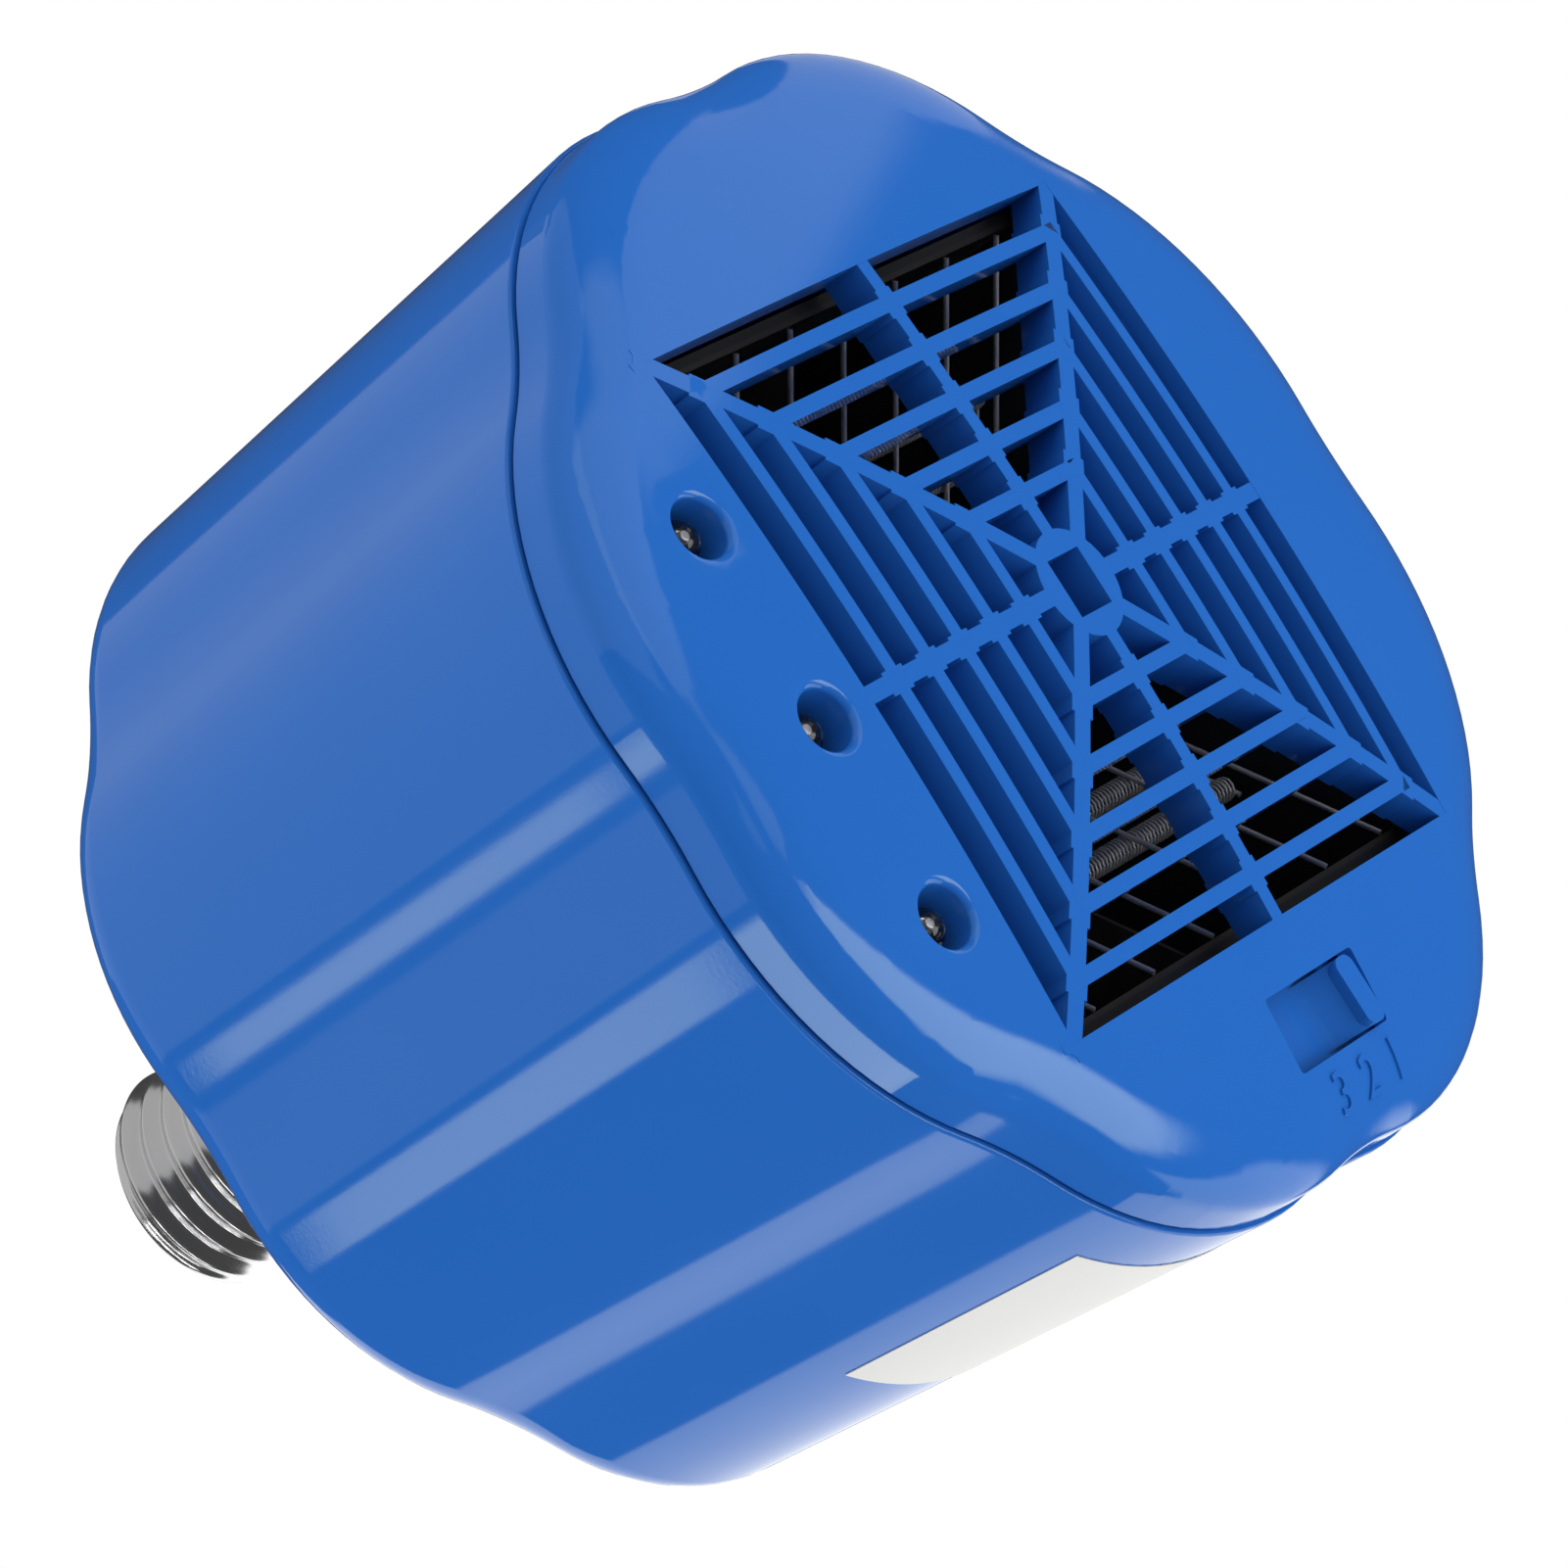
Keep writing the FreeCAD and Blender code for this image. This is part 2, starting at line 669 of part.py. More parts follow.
def fan_screws():
    length = duct_sheet + fan_depth + fan_standoff - 1
    return Part.makeCompound([screw(x, y, plate_front_z, -1, screw_head_radius, screw_head_height,
                                    screw_radius, length) for x, y in fan_places])


def cover_screws():
    return Part.makeCompound([screw(x, y, screw_seat_z, 1, screw_head_radius, screw_head_height,
                                    screw_radius, screw_length) for x, y in boss_places])


def board_screws():
    length = board_thickness + 3
    return Part.makeCompound([screw(x, y, z + board_thickness, 1, small_head_radius, small_head_height,
                                    small_screw_radius, length) for x, y, z in board_posts])


def heater_duct():
    outer, inner = duct_outer_half, duct_inner_half
    duct = block(-outer, outer, -outer, outer, duct_front_z, fan_front_z)
    duct = duct.cut(block(-inner, inner, -inner, inner, duct_front_z, plate_front_z))
    duct = duct.cut(rod(duct_opening_radius, plate_front_z - 1, fan_front_z + 1))
    return duct.cut([rod(plate_hole_radius, plate_front_z - 1, fan_front_z + 1, x, y)
                     for x, y in fan_places])


# The support wires lie on two slopes that meet at the middle card
support_front_z = corner_z + support_front_depth
liner_x = duct_inner_half - mica_thickness


def slope_z(x):
    """Height of a support wire's centre at a distance from the middle card."""
    return support_front_z + support_slope * (liner_x - abs(x))


slope_rise = math.sqrt(1 + support_slope ** 2)
coil_lift = (coil_radius + support_wire_radius) * slope_rise
card_lift = (2 * coil_radius + support_wire_radius + seat_gap) * slope_rise
card_rear_z = plate_front_z - mica_rear_depth
card_front_z = slope_z(0) - 1.5
card_notch_z = (card_rear_z + slope_z(0) + card_lift) / 2


def mica_card_long():
    half = duct_inner_half - fit_gap
    card = block(-mica_thickness / 2, mica_thickness / 2, -half, half, card_front_z, card_rear_z)
    notch = mica_thickness / 2 + fit_gap
    return card.cut(block(-1, 1, -notch, notch, card_notch_z, card_rear_z + 1))


def mica_card_cross():
    reach = liner_x - fit_gap
    edge_z = slope_z(reach) + card_lift
    points = [(-reach, edge_z), (0, slope_z(0) + card_lift), (reach, edge_z),
              (reach, card_rear_z), (-reach, card_rear_z)]
    profile = Part.makePolygon([Vector(x, -mica_thickness / 2, z) for x, z in points + points[:1]])
    card = Part.Face(profile).extrude(Vector(0, mica_thickness, 0))
    notch = mica_thickness / 2 + fit_gap
    return card.cut(block(-notch, notch, -1, 1, slope_z(0) - 1, card_notch_z))


def mica_liner(side):
    inner, outer = side * liner_x, side * duct_inner_half
    half = duct_inner_half - fit_gap
    return block(min(inner, outer), max(inner, outer), -half, half, duct_front_z, duct_front_z + liner_depth)


def support_wires():
    """Straight wires from the side liners to the middle card, on both slopes."""
    inset = support_wire_radius * support_slope
    wires = []
    for side, first_inset, pitch in ((1, right_support_inset, right_support_pitch),
                                     (-1, left_support_inset, left_support_pitch)):
        start = duct_inner_half - first_inset
        run = start + duct_inner_half - last_support_inset
        for k in range(int(run / pitch) + 1):
            y = start - k * pitch
            outer = liner_x - inset
            inner = mica_thickness / 2 + inset
            wires.append(rod_between(support_wire_radius, Vector(side * outer, y, slope_z(outer)),
                                     Vector(side * inner, y, slope_z(inner))))
    return Part.makeCompound(wires)


def heater_coil(x):
    """The envelope of one coiled resistance wire, laid across the support wires."""
    start = Vector(x, -coil_half_length, slope_z(x) + coil_lift)
    end = Vector(x, coil_half_length, slope_z(x) + coil_lift)
    bore = Vector(0, 1, 0)
    hollow = rod_between(coil_radius - coil_wall, start - bore, end + bore)
    return rod_between(coil_radius, start, end).cut(hollow)


def heater_links():
    """Straight wires that join the inner and outer coil of each side at both ends."""
    links = []
    reach = coil_half_length + support_wire_radius
    inner_x, outer_x = inner_coil_x - coil_radius, outer_coil_x + coil_radius
    inner_z, outer_z = slope_z(inner_x) + coil_lift, slope_z(outer_x) + coil_lift
    for side, end in at_corners(1, 1):
        start = Vector(side * inner_x, end * reach, inner_z)
        finish = Vector(side * outer_x, end * reach, outer_z)
        links.append(rod_between(support_wire_radius, start, finish))
    return Part.makeCompound(links)


card_face_x = mica_thickness / 2
cutout_z = card_rear_z - cutout_radius - 1


def thermal_cutout():
    middle_y = fan_size / 4
    body = Part.makeCylinder(cutout_radius, cutout_height, Vector(card_face_x, middle_y, cutout_z),
                             Vector(1, 0, 0))
    tags = [block(card_face_x + 1, card_face_x + 2, y - 1.5, y + 1.5, cutout_z - 1.5, cutout_z + 1.5)
            for y in (middle_y + cutout_radius + 1, middle_y - cutout_radius - 1)]
    return joined([body] + tags)


def thermal_fuse():
    start = Vector(card_face_x + fuse_radius, -fan_size / 4 - fuse_length / 2, cutout_z)
    return rod_between(fuse_radius, start, start + Vector(0, fuse_length, 0))


def lamp_board():
    x, y = lamp_board_half, lamp_board_width / 2
    low, high = lamp_board_z, lamp_board_z + board_thickness
    board = block(-x, x, lamp_y - y, lamp_y + y, low, high)
    holes = [rod(leg_hole_radius, low - 1, high + 1, lamp + side * lamp_leg_spacing / 2, lamp_y)
             for lamp, _ in lamp_places for side in (1, -1)]
    holes += [rod(small_screw_radius + fit_gap, low - 1, high + 1, side * lamp_post_x, lamp_y)
              for side in (1, -1)]
    return board.cut(holes)


def lamp(x):
    """A clear diode with its domed tip down and its legs through the board."""
    points = []
    for k in range(lamp_dome_steps + 1):
        angle = math.radians(90.0 * k / lamp_dome_steps)
        points.append((lamp_radius * math.sin(angle), lamp_tip_z + lamp_radius * (1 - math.cos(angle))))
    flange_z, flange_radius = lamp_board_z - 1.0, lamp_radius + lamp_flange
    body = turned(points + [(lamp_radius, flange_z), (flange_radius, flange_z),
                            (flange_radius, lamp_board_z), (0, lamp_board_z)])
    legs = [rod(lamp_leg_radius, lamp_board_z - 0.5, lamp_board_z + lamp_leg_length, side, 0)
            for side in (lamp_leg_spacing / 2, -lamp_leg_spacing / 2)]
    shape = joined([body] + legs)
    shape.translate(Vector(x, lamp_y, 0))
    return shape


def switch_knob():
    """The slider at its first place: plate, finger nub through the slot, and lever into the case."""
    y = switch_step
    plate = block(switch_x - slider_width / 2, switch_x + slider_width / 2, y - slider_half_length,
                  y + slider_half_length, slider_low_z, slider_top_z)
    face_z = dome_z(switch_x, y) - nub_proud
    start, ridge, end = y + nub_length / 2, y + nub_length / 2 - nub_ridge, y - nub_length / 2
    points = [(start, slider_top_z), (start, face_z + 0.5), (start - 0.5, face_z), (ridge + 0.3, face_z)]
    for k in range(1, nub_slope_steps + 1):
        share = k / nub_slope_steps
        points.append((ridge + (end - ridge) * share, face_z + (slider_low_z - face_z) * math.sqrt(share)))
    points.append((end, slider_top_z))
    half = slot_width / 2 - nub_side_gap
    profile = Part.makePolygon([Vector(switch_x - half, py, pz) for py, pz in points + points[:1]])
    nub = Part.Face(profile).extrude(Vector(2 * half, 0, 0))
    reach = lever_size / 2
    lever = block(switch_x - reach, switch_x + reach, y - reach, y + reach,
                  slider_low_z, case_low_z + lever_entry)
    return joined([plate, nub, lever])


tag_places = [(k - (tag_count - 1) / 2) * tag_pitch for k in range(tag_count)]


def switch_case():
    case = block(switch_x - case_width / 2, switch_x + case_width / 2, -case_length / 2, case_length / 2,
                 case_low_z, switch_board_z)
    reach_y = switch_step + lever_size / 2 + lever_gap
    reach_x = lever_size / 2 + lever_gap
    return case.cut(block(switch_x - reach_x, switch_x + reach_x, -reach_y, reach_y, case_low_z - 1,
                          case_low_z + lever_entry + 2 * lever_gap))


def switch_terminals():
    half_x, half_y = tag_thickness / 2, tag_width / 2
    return Part.makeCompound([block(switch_x - half_x, switch_x + half_x, y - half_y, y + half_y,
                                    switch_board_z, switch_board_z + tag_length) for y in tag_places])


def switch_board():
    low, high = switch_board_z, switch_board_z + board_thickness
    board = block(switch_x - case_width / 2, switch_x + case_width / 2, -switch_board_half, switch_board_half,
                  low, high)
    holes = [rod(small_screw_radius + fit_gap, low - 1, high + 1, switch_x, side * switch_post_y)
             for side in (1, -1)]
    half_x, half_y = tag_thickness / 2 + fit_gap, tag_width / 2 + fit_gap
    holes += [block(switch_x - half_x, switch_x + half_x, y - half_y, y + half_y, low - 1, high + 1)
              for y in tag_places]
    return board.cut(holes)


def power_board():
    return block(-power_board_half, power_board_half, power_board_y, power_board_y + board_thickness,
                 power_board_low_z, power_board_top_z)


component_y = power_board_y + board_thickness
component_z = (power_board_low_z + power_board_top_z) / 2


def smoothing_capacitor():
    start = Vector(-power_board_half / 2, component_y, component_z)
    return rod_between(capacitor_radius, start, start + Vector(0, capacitor_length, 0))


def rectifier():
    half = rectifier_size / 2
    x = power_board_half / 2
    return block(x - half, x + half, component_y, component_y + rectifier_depth,
                 component_z - half, component_z + half)


nodes = {
    "body_shell": body_shell(),
    "front_cover": front_cover(),
    "screw_shell": screw_shell(),
    "base_insulator": base_insulator(),
    "centre_contact": centre_contact(),
    "live_lead": live_lead(),
    "neutral_lead": neutral_lead(),
    "fan_frame": fan_frame(),
    "fan_rotor": fan_rotor(),
    "fan_shaft": fan_shaft(),
    "fan_stator": fan_stator(),
    "fan_screws": fan_screws(),
    "cover_screws": cover_screws(),
    "board_screws": board_screws(),
    "heater_duct": heater_duct(),
    "mica_card_long": mica_card_long(),
    "mica_card_cross": mica_card_cross(),
    "mica_liner_right": mica_liner(1),
    "mica_liner_left": mica_liner(-1),
    "support_wires": support_wires(),
    "heater_coil_inner_right": heater_coil(inner_coil_x),
    "heater_coil_outer_right": heater_coil(outer_coil_x),
    "heater_coil_inner_left": heater_coil(-inner_coil_x),
    "heater_coil_outer_left": heater_coil(-outer_coil_x),
    "heater_links": heater_links(),
    "thermal_cutout": thermal_cutout(),
    "thermal_fuse": thermal_fuse(),
    "lamp_board": lamp_board(),
    "lamp_left": lamp(-lamp_spacing),
    "lamp_middle": lamp(0),
    "lamp_right": lamp(lamp_spacing),
    "switch_knob": switch_knob(),
    "switch_case": switch_case(),
    "switch_terminals": switch_terminals(),
    "switch_board": switch_board(),
    "power_board": power_board(),
    "smoothing_capacitor": smoothing_capacitor(),
    "rectifier": rectifier(),
}

for name, shape in nodes.items():
    print(name, "valid", shape.isValid(), "solids", len(shape.Solids), "volume %.1f" % shape.Volume)
    save(name, shape)
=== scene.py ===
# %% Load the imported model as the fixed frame
import math

import bmesh
import bpy
from mathutils import Matrix, Vector
from mathutils.bvhtree import BVHTree


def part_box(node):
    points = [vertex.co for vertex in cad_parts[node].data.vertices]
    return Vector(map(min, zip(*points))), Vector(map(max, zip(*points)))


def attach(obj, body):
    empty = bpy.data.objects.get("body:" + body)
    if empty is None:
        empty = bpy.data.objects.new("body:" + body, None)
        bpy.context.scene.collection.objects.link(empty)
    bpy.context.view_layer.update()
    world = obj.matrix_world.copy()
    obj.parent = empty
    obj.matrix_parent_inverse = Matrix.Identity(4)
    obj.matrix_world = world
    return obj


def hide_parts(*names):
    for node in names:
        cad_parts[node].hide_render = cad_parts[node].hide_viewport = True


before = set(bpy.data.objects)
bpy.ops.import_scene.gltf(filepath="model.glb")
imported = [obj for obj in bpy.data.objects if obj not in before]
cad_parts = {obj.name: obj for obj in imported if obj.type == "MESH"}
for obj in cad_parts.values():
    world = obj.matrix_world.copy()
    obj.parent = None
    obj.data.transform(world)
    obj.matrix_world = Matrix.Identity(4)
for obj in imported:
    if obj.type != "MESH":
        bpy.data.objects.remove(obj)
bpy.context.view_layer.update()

mm = 0.001

# %% [markdown]
# The camera comes first. The photograph looks up at the grille from its lower front side, with the
# camera rolled, so three turns and a distance fix it. They are given in the grille's own plane: one
# direction along the row of lamp wells, one towards the far side from the switch, and one straight out
# of the face. Half the grille's opening is the unit of length, because the opening's corners are the
# sharpest points in the picture.

# %% Camera at the photograph's viewing angle
grille_half = 39.0 * mm
corner_z = -144.0 * mm
view_lean = math.radians(53.566)
view_turn = math.radians(3.583)
view_roll = math.radians(55.584)
view_distance, shift_right, shift_down = 21.217, 0.7092, -0.4851
focal_pixels, picture_pixels, sensor_mm = 8400.0, 1601.0, 36.0


def from_face(along_wells, from_switch, outwards):
    """A direction in the grille's plane, as a direction in the model."""
    return Vector((from_switch, along_wells, -outwards))


to_camera = from_face(-math.sin(view_lean) * math.cos(view_turn), -math.sin(view_lean) * math.sin(view_turn),
                      math.cos(view_lean))
level_right = (-to_camera).cross(from_face(0, 0, 1)).normalized()
level_up = level_right.cross(-to_camera)
camera_right = math.cos(view_roll) * level_right + math.sin(view_roll) * level_up
camera_up = math.cos(view_roll) * level_up - math.sin(view_roll) * level_right
camera_place = Vector((0, 0, corner_z)) + grille_half * (
    view_distance * to_camera - shift_right * camera_right + shift_down * camera_up)

camera_data = bpy.data.cameras.new("camera")
camera_data.sensor_width = sensor_mm
camera_data.lens = focal_pixels / picture_pixels * sensor_mm
camera_data.clip_start = 0.01
camera = bpy.data.objects.new("camera", camera_data)
bpy.context.scene.collection.objects.link(camera)
camera.matrix_world = Matrix.Translation(camera_place) @ Matrix(
    (camera_right, camera_up, to_camera)).transposed().to_4x4()
bpy.context.scene.camera = camera
bpy.context.scene.view_settings.view_transform = "Standard"
print("camera at mm", [round(value / mm, 1) for value in camera_place], "lens mm", round(camera_data.lens, 1))

# %% [markdown]
# Small helpers that every later cell uses: one makes an object from vertices and faces, one bakes
# whatever modifiers it carries into a plain mesh, and one turns a profile round the lamp's axis.

# %% Helpers for making pieces


def add_object(name, mesh):
    piece = bpy.data.objects.new(name, mesh)
    bpy.context.scene.collection.objects.link(piece)
    return piece


def mesh_object(name, vertices, faces):
    mesh = bpy.data.meshes.new(name)
    mesh.from_pydata(vertices, [], faces)
    mesh.validate()
    mesh.update()
    return add_object(name, mesh)


def outward(piece):
    """Merges doubles and turns every face of a closed piece outwards."""
    work = bmesh.new()
    work.from_mesh(piece.data)
    bmesh.ops.remove_doubles(work, verts=work.verts, dist=0.0005 * mm)
    bmesh.ops.recalc_face_normals(work, faces=work.faces)
    work.to_mesh(piece.data)
    work.free()
    return piece


def baked(piece, name=None):
    """Turns an object's evaluated shape into a plain mesh object of its own."""
    bpy.context.view_layer.update()
    evaluated = piece.evaluated_get(bpy.context.evaluated_depsgraph_get())
    mesh = bpy.data.meshes.new_from_object(evaluated)
    result = add_object(name or piece.name + "_baked", mesh)
    bpy.data.objects.remove(piece)
    return result


def combine(piece, tool, operation):
    """Cuts or joins a closed piece with a closed tool, exactly, and removes the tool."""
    modifier = piece.modifiers.new("combine", "BOOLEAN")
    modifier.operation, modifier.solver, modifier.object = operation, "EXACT", tool
    name = piece.name
    piece.name = name + "_before"
    result = baked(piece, name)
    bpy.data.objects.remove(tool)
    return result


def lathe(name, profile, centre=(0, 0), steps=64):
    """A closed shape turned from (radius, z) points, whose first and last lie on the axis."""
    vertices, faces = [], []
    inner = profile[1:-1]
    for step in range(steps):
        angle = 2 * math.pi * step / steps
        vertices += [(centre[0] + r * math.cos(angle), centre[1] + r * math.sin(angle), z) for r, z in inner]
    count = len(inner)
    for step in range(steps):
        a, b = step * count, (step + 1) % steps * count
        faces += [(a + k, b + k, b + k + 1, a + k + 1) for k in range(count - 1)]
    vertices += [(centre[0], centre[1], profile[0][1]), (centre[0], centre[1], profile[-1][1])]
    first, last = len(vertices) - 2, len(vertices) - 1
    for step in range(steps):
        a, b = step * count, (step + 1) % steps * count
        faces += [(first, b, a), (last, a + count - 1, b + count - 1)]
    return outward(mesh_object(name, vertices, faces))


def brick(name, low, high):
    """A closed box between two corners, as a cutting tool or a blank."""
    corners = [(x, y, z) for x in (low[0], high[0]) for y in (low[1], high[1]) for z in (low[2], high[2])]
    faces = [(0, 1, 3, 2), (4, 6, 7, 5), (0, 4, 5, 1), (2, 3, 7, 6), (0, 2, 6, 4), (1, 5, 7, 3)]
    return mesh_object(name, corners, faces)


def smooth(piece, angle=32):
    piece.data.shade_smooth()
    piece.data.set_sharp_from_angle(angle=math.radians(angle))
    return piece


def weighted(piece):
    """Lets large faces decide the shading beside small rounds, so that flats look flat."""
    modifier = piece.modifiers.new("weights", "WEIGHTED_NORMAL")
    modifier.keep_sharp = True
    modifier.weight = 60
    return piece


print("helpers ready")

# %% [markdown]
# Moulded plastic is never quite flat. A fine grain breaks up its reflections, and slow waves bend them,
# which is what makes a softbox in the wall look hand-drawn at its edges. Both effects go into one shader
# group with named inputs, so that each plastic takes its own amounts.

# %% Shader group for moulded surfaces


def group_tree(name, inputs, outputs):
    tree = bpy.data.node_groups.new(name, "ShaderNodeTree")
    for label, kind, value in inputs:
        socket = tree.interface.new_socket(name=label, in_out="INPUT", socket_type="NodeSocket" + kind)
        socket.default_value = value
    for label, kind in outputs:
        tree.interface.new_socket(name=label, in_out="OUTPUT", socket_type="NodeSocket" + kind)
    return tree, tree.nodes.new("NodeGroupInput"), tree.nodes.new("NodeGroupOutput")


def noise_in(tree, vector, scale, detail=2.0):
    node = tree.nodes.new("ShaderNodeTexNoise")
    node.inputs["Detail"].default_value = detail
    if isinstance(scale, float):
        node.inputs["Scale"].default_value = scale
    else:
        tree.links.new(scale, node.inputs["Scale"])
    tree.links.new(vector, node.inputs["Vector"])
    return node.outputs["Fac"]


def math_in(tree, operation, first, second):
    node = tree.nodes.new("ShaderNodeMath")
    node.operation = operation
    for socket, value in zip(node.inputs, (first, second)):
        if isinstance(value, (int, float)):
            socket.default_value = value
        else:
            tree.links.new(value, socket)
    return node.outputs[0]


moulding, moulding_in, moulding_out = group_tree(
    "moulded surface",
    [("Vector", "Vector", (0, 0, 0)), ("Grain Scale", "Float", 2500.0), ("Grain", "Float", 0.2),
     ("Wave Scale", "Float", 22.0), ("Wave", "Float", 0.5), ("Roughness", "Float", 0.25),
     ("Spread", "Float", 0.06)],
    [("Height", "Float"), ("Roughness", "Float"), ("Mask", "Float")])
grain = noise_in(moulding, moulding_in.outputs["Vector"], moulding_in.outputs["Grain Scale"])
wave = noise_in(moulding, moulding_in.outputs["Vector"], moulding_in.outputs["Wave Scale"], 1.0)
cloud = noise_in(moulding, moulding_in.outputs["Vector"], 60.0, 3.0)
grain_height = math_in(moulding, "MULTIPLY", grain, moulding_in.outputs["Grain"])
wave_height = math_in(moulding, "MULTIPLY", wave, moulding_in.outputs["Wave"])
moulding.links.new(math_in(moulding, "ADD", grain_height, wave_height), moulding_out.inputs["Height"])
swing_about_middle = math_in(moulding, "SUBTRACT", cloud, 0.5)
offset = math_in(moulding, "MULTIPLY", swing_about_middle, moulding_in.outputs["Spread"])
moulding.links.new(math_in(moulding, "ADD", moulding_in.outputs["Roughness"], offset),
                   moulding_out.inputs["Roughness"])
moulding.links.new(cloud, moulding_out.inputs["Mask"])
print("group", moulding.name, "with", len(moulding.nodes), "nodes")

# %% [markdown]
# Each finish is a Principled surface fed by that group. A material reads Object coordinates, so its
# pattern stays on the piece when the piece moves. The housing is a mid blue with a sharp gloss.

# %% Finishes


def colour_ramp(tree, factor, dark, light):
    mix = tree.nodes.new("ShaderNodeMix")
    mix.data_type = "RGBA"
    tree.links.new(factor, mix.inputs["Factor"])
    mix.inputs[6].default_value = (*dark, 1)
    mix.inputs[7].default_value = (*light, 1)
    return mix.outputs[2]


def finish(name, dark, light, roughness, spread=0.06, grain_scale=2500.0, grain=0.2, wave_scale=22.0,
           wave=0.5, bump=0.05, metallic=0.0, stretch=(1, 1, 1)):
    """A moulded, cast or rolled finish between two close colours."""
    material = bpy.data.materials.new(name)
    material.use_nodes = True
    tree = material.node_tree
    surface = tree.nodes["Principled BSDF"]
    surface.inputs["Metallic"].default_value = metallic
    place = tree.nodes.new("ShaderNodeTexCoord")
    mapping = tree.nodes.new("ShaderNodeMapping")
    mapping.inputs["Scale"].default_value = stretch
    tree.links.new(place.outputs["Object"], mapping.inputs["Vector"])
    group = tree.nodes.new("ShaderNodeGroup")
    group.node_tree = moulding
    values = {"Grain Scale": grain_scale, "Grain": grain, "Wave Scale": wave_scale, "Wave": wave,
              "Roughness": roughness, "Spread": spread}
    for label, value in values.items():
        group.inputs[label].default_value = value
    tree.links.new(mapping.outputs["Vector"], group.inputs["Vector"])
    tree.links.new(colour_ramp(tree, group.outputs["Mask"], dark, light), surface.inputs["Base Color"])
    tree.links.new(group.outputs["Roughness"], surface.inputs["Roughness"])
    relief = tree.nodes.new("ShaderNodeBump")
    relief.inputs["Strength"].default_value = bump
    relief.inputs["Distance"].default_value = 0.2 * mm
    tree.links.new(group.outputs["Height"], relief.inputs["Height"])
    tree.links.new(relief.outputs["Normal"], surface.inputs["Normal"])
    return material


housing_blue = finish("housing_blue", (0.016, 0.134, 0.525), (0.019, 0.142, 0.545), 0.07, spread=0.03,
                      wave=2.0, bump=0.05)
# In the photograph the gloss on the blue looks a little green, so its mirror colour is tinted to match
blue_surface = housing_blue.node_tree.nodes["Principled BSDF"]
blue_surface.inputs["Specular IOR Level"].default_value = 0.56
blue_surface.inputs["Specular Tint"].default_value = (0.84, 1.0, 0.66, 1)
rolled_metal = finish("rolled_metal", (0.74, 0.74, 0.75), (0.86, 0.86, 0.87), 0.16, spread=0.12,
                      grain_scale=900.0, grain=0.5, bump=0.10, metallic=1.0, stretch=(1, 1, 14))
contact_metal = finish("contact_metal", (0.66, 0.62, 0.52), (0.82, 0.79, 0.70), 0.30, spread=0.2, bump=0.2,
                       metallic=1.0)
insulator_black = finish("insulator_black", (0.012, 0.012, 0.013), (0.03, 0.03, 0.032), 0.38, bump=0.1)
fan_black = finish("fan_black", (0.010, 0.010, 0.011), (0.020, 0.020, 0.022), 0.45, bump=0.12)
duct_black = finish("duct_black", (0.010, 0.010, 0.010), (0.022, 0.021, 0.020), 0.50, spread=0.2,
                    grain_scale=1200.0, bump=0.2)
mica = finish("mica", (0.020, 0.018, 0.014), (0.050, 0.044, 0.034), 0.42, spread=0.3, grain_scale=700.0,
              bump=0.3, stretch=(1, 1, 6))
drawn_wire = finish("drawn_wire", (0.62, 0.60, 0.57), (0.80, 0.78, 0.75), 0.38, spread=0.15, bump=0.1,
                    metallic=0.7)
plated_steel = finish("plated_steel", (0.55, 0.55, 0.57), (0.70, 0.70, 0.72), 0.32, spread=0.15, bump=0.1,
                      metallic=1.0)
copper_winding = finish("copper_winding", (0.42, 0.16, 0.06), (0.60, 0.26, 0.10), 0.35, spread=0.2, bump=0.4,
                        metallic=1.0, grain_scale=1500.0, stretch=(1, 1, 5))
board_green = finish("board_green", (0.012, 0.075, 0.030), (0.018, 0.10, 0.042), 0.40, spread=0.1, bump=0.1,
                     grain_scale=1400.0)
live_sleeve = finish("live_sleeve", (0.25, 0.012, 0.010), (0.33, 0.018, 0.014), 0.40, bump=0.1)
neutral_sleeve = finish("neutral_sleeve", (0.010, 0.035, 0.22), (0.014, 0.05, 0.30), 0.40, bump=0.1)
label_paper = finish("label_paper", (0.72, 0.72, 0.70), (0.78, 0.78, 0.76), 0.48, spread=0.08,
                     grain_scale=1800.0, bump=0.06)
print("finishes", len(bpy.data.materials))

# %% [markdown]
# The lamps' clear heads are glass to the eye: they let light through and bend it. Transmission stays a
# plain value on the shader, so the exported model keeps it.

# %% Clear diode plastic
clear_plastic = bpy.data.materials.new("clear_plastic")
clear_plastic.use_nodes = True
clear_surface = clear_plastic.node_tree.nodes["Principled BSDF"]
clear_surface.inputs["Base Color"].default_value = (0.96, 0.97, 0.98, 1)
clear_surface.inputs["Roughness"].default_value = 0.03
clear_surface.inputs["IOR"].default_value = 1.5
clear_surface.inputs["Transmission Weight"].default_value = 1.0

# %% [markdown]
# The housing's outline is the rule behind the whole object: eight lobe arcs that meet eight hollow dip
# arcs in tangents. All arcs keep their centres when the outline is moved inwards, so rings at any inset
# have matching points, and a wall is just a chain of rings.

# %% The lobed outline and ring walls
dip_radius, dip_depth, dip_curve = 63.7 * mm, 2.7 * mm, 51.0 * mm
lobe_radius = dip_radius + dip_depth
dip_centre = dip_radius + dip_curve
lobe_centre = ((lobe_radius + dip_curve) ** 2 - dip_centre ** 2) / (
    2 * (lobe_radius + dip_curve) - 2 * dip_centre * math.cos(math.radians(22.5)))
lobe_curve = lobe_radius - lobe_centre


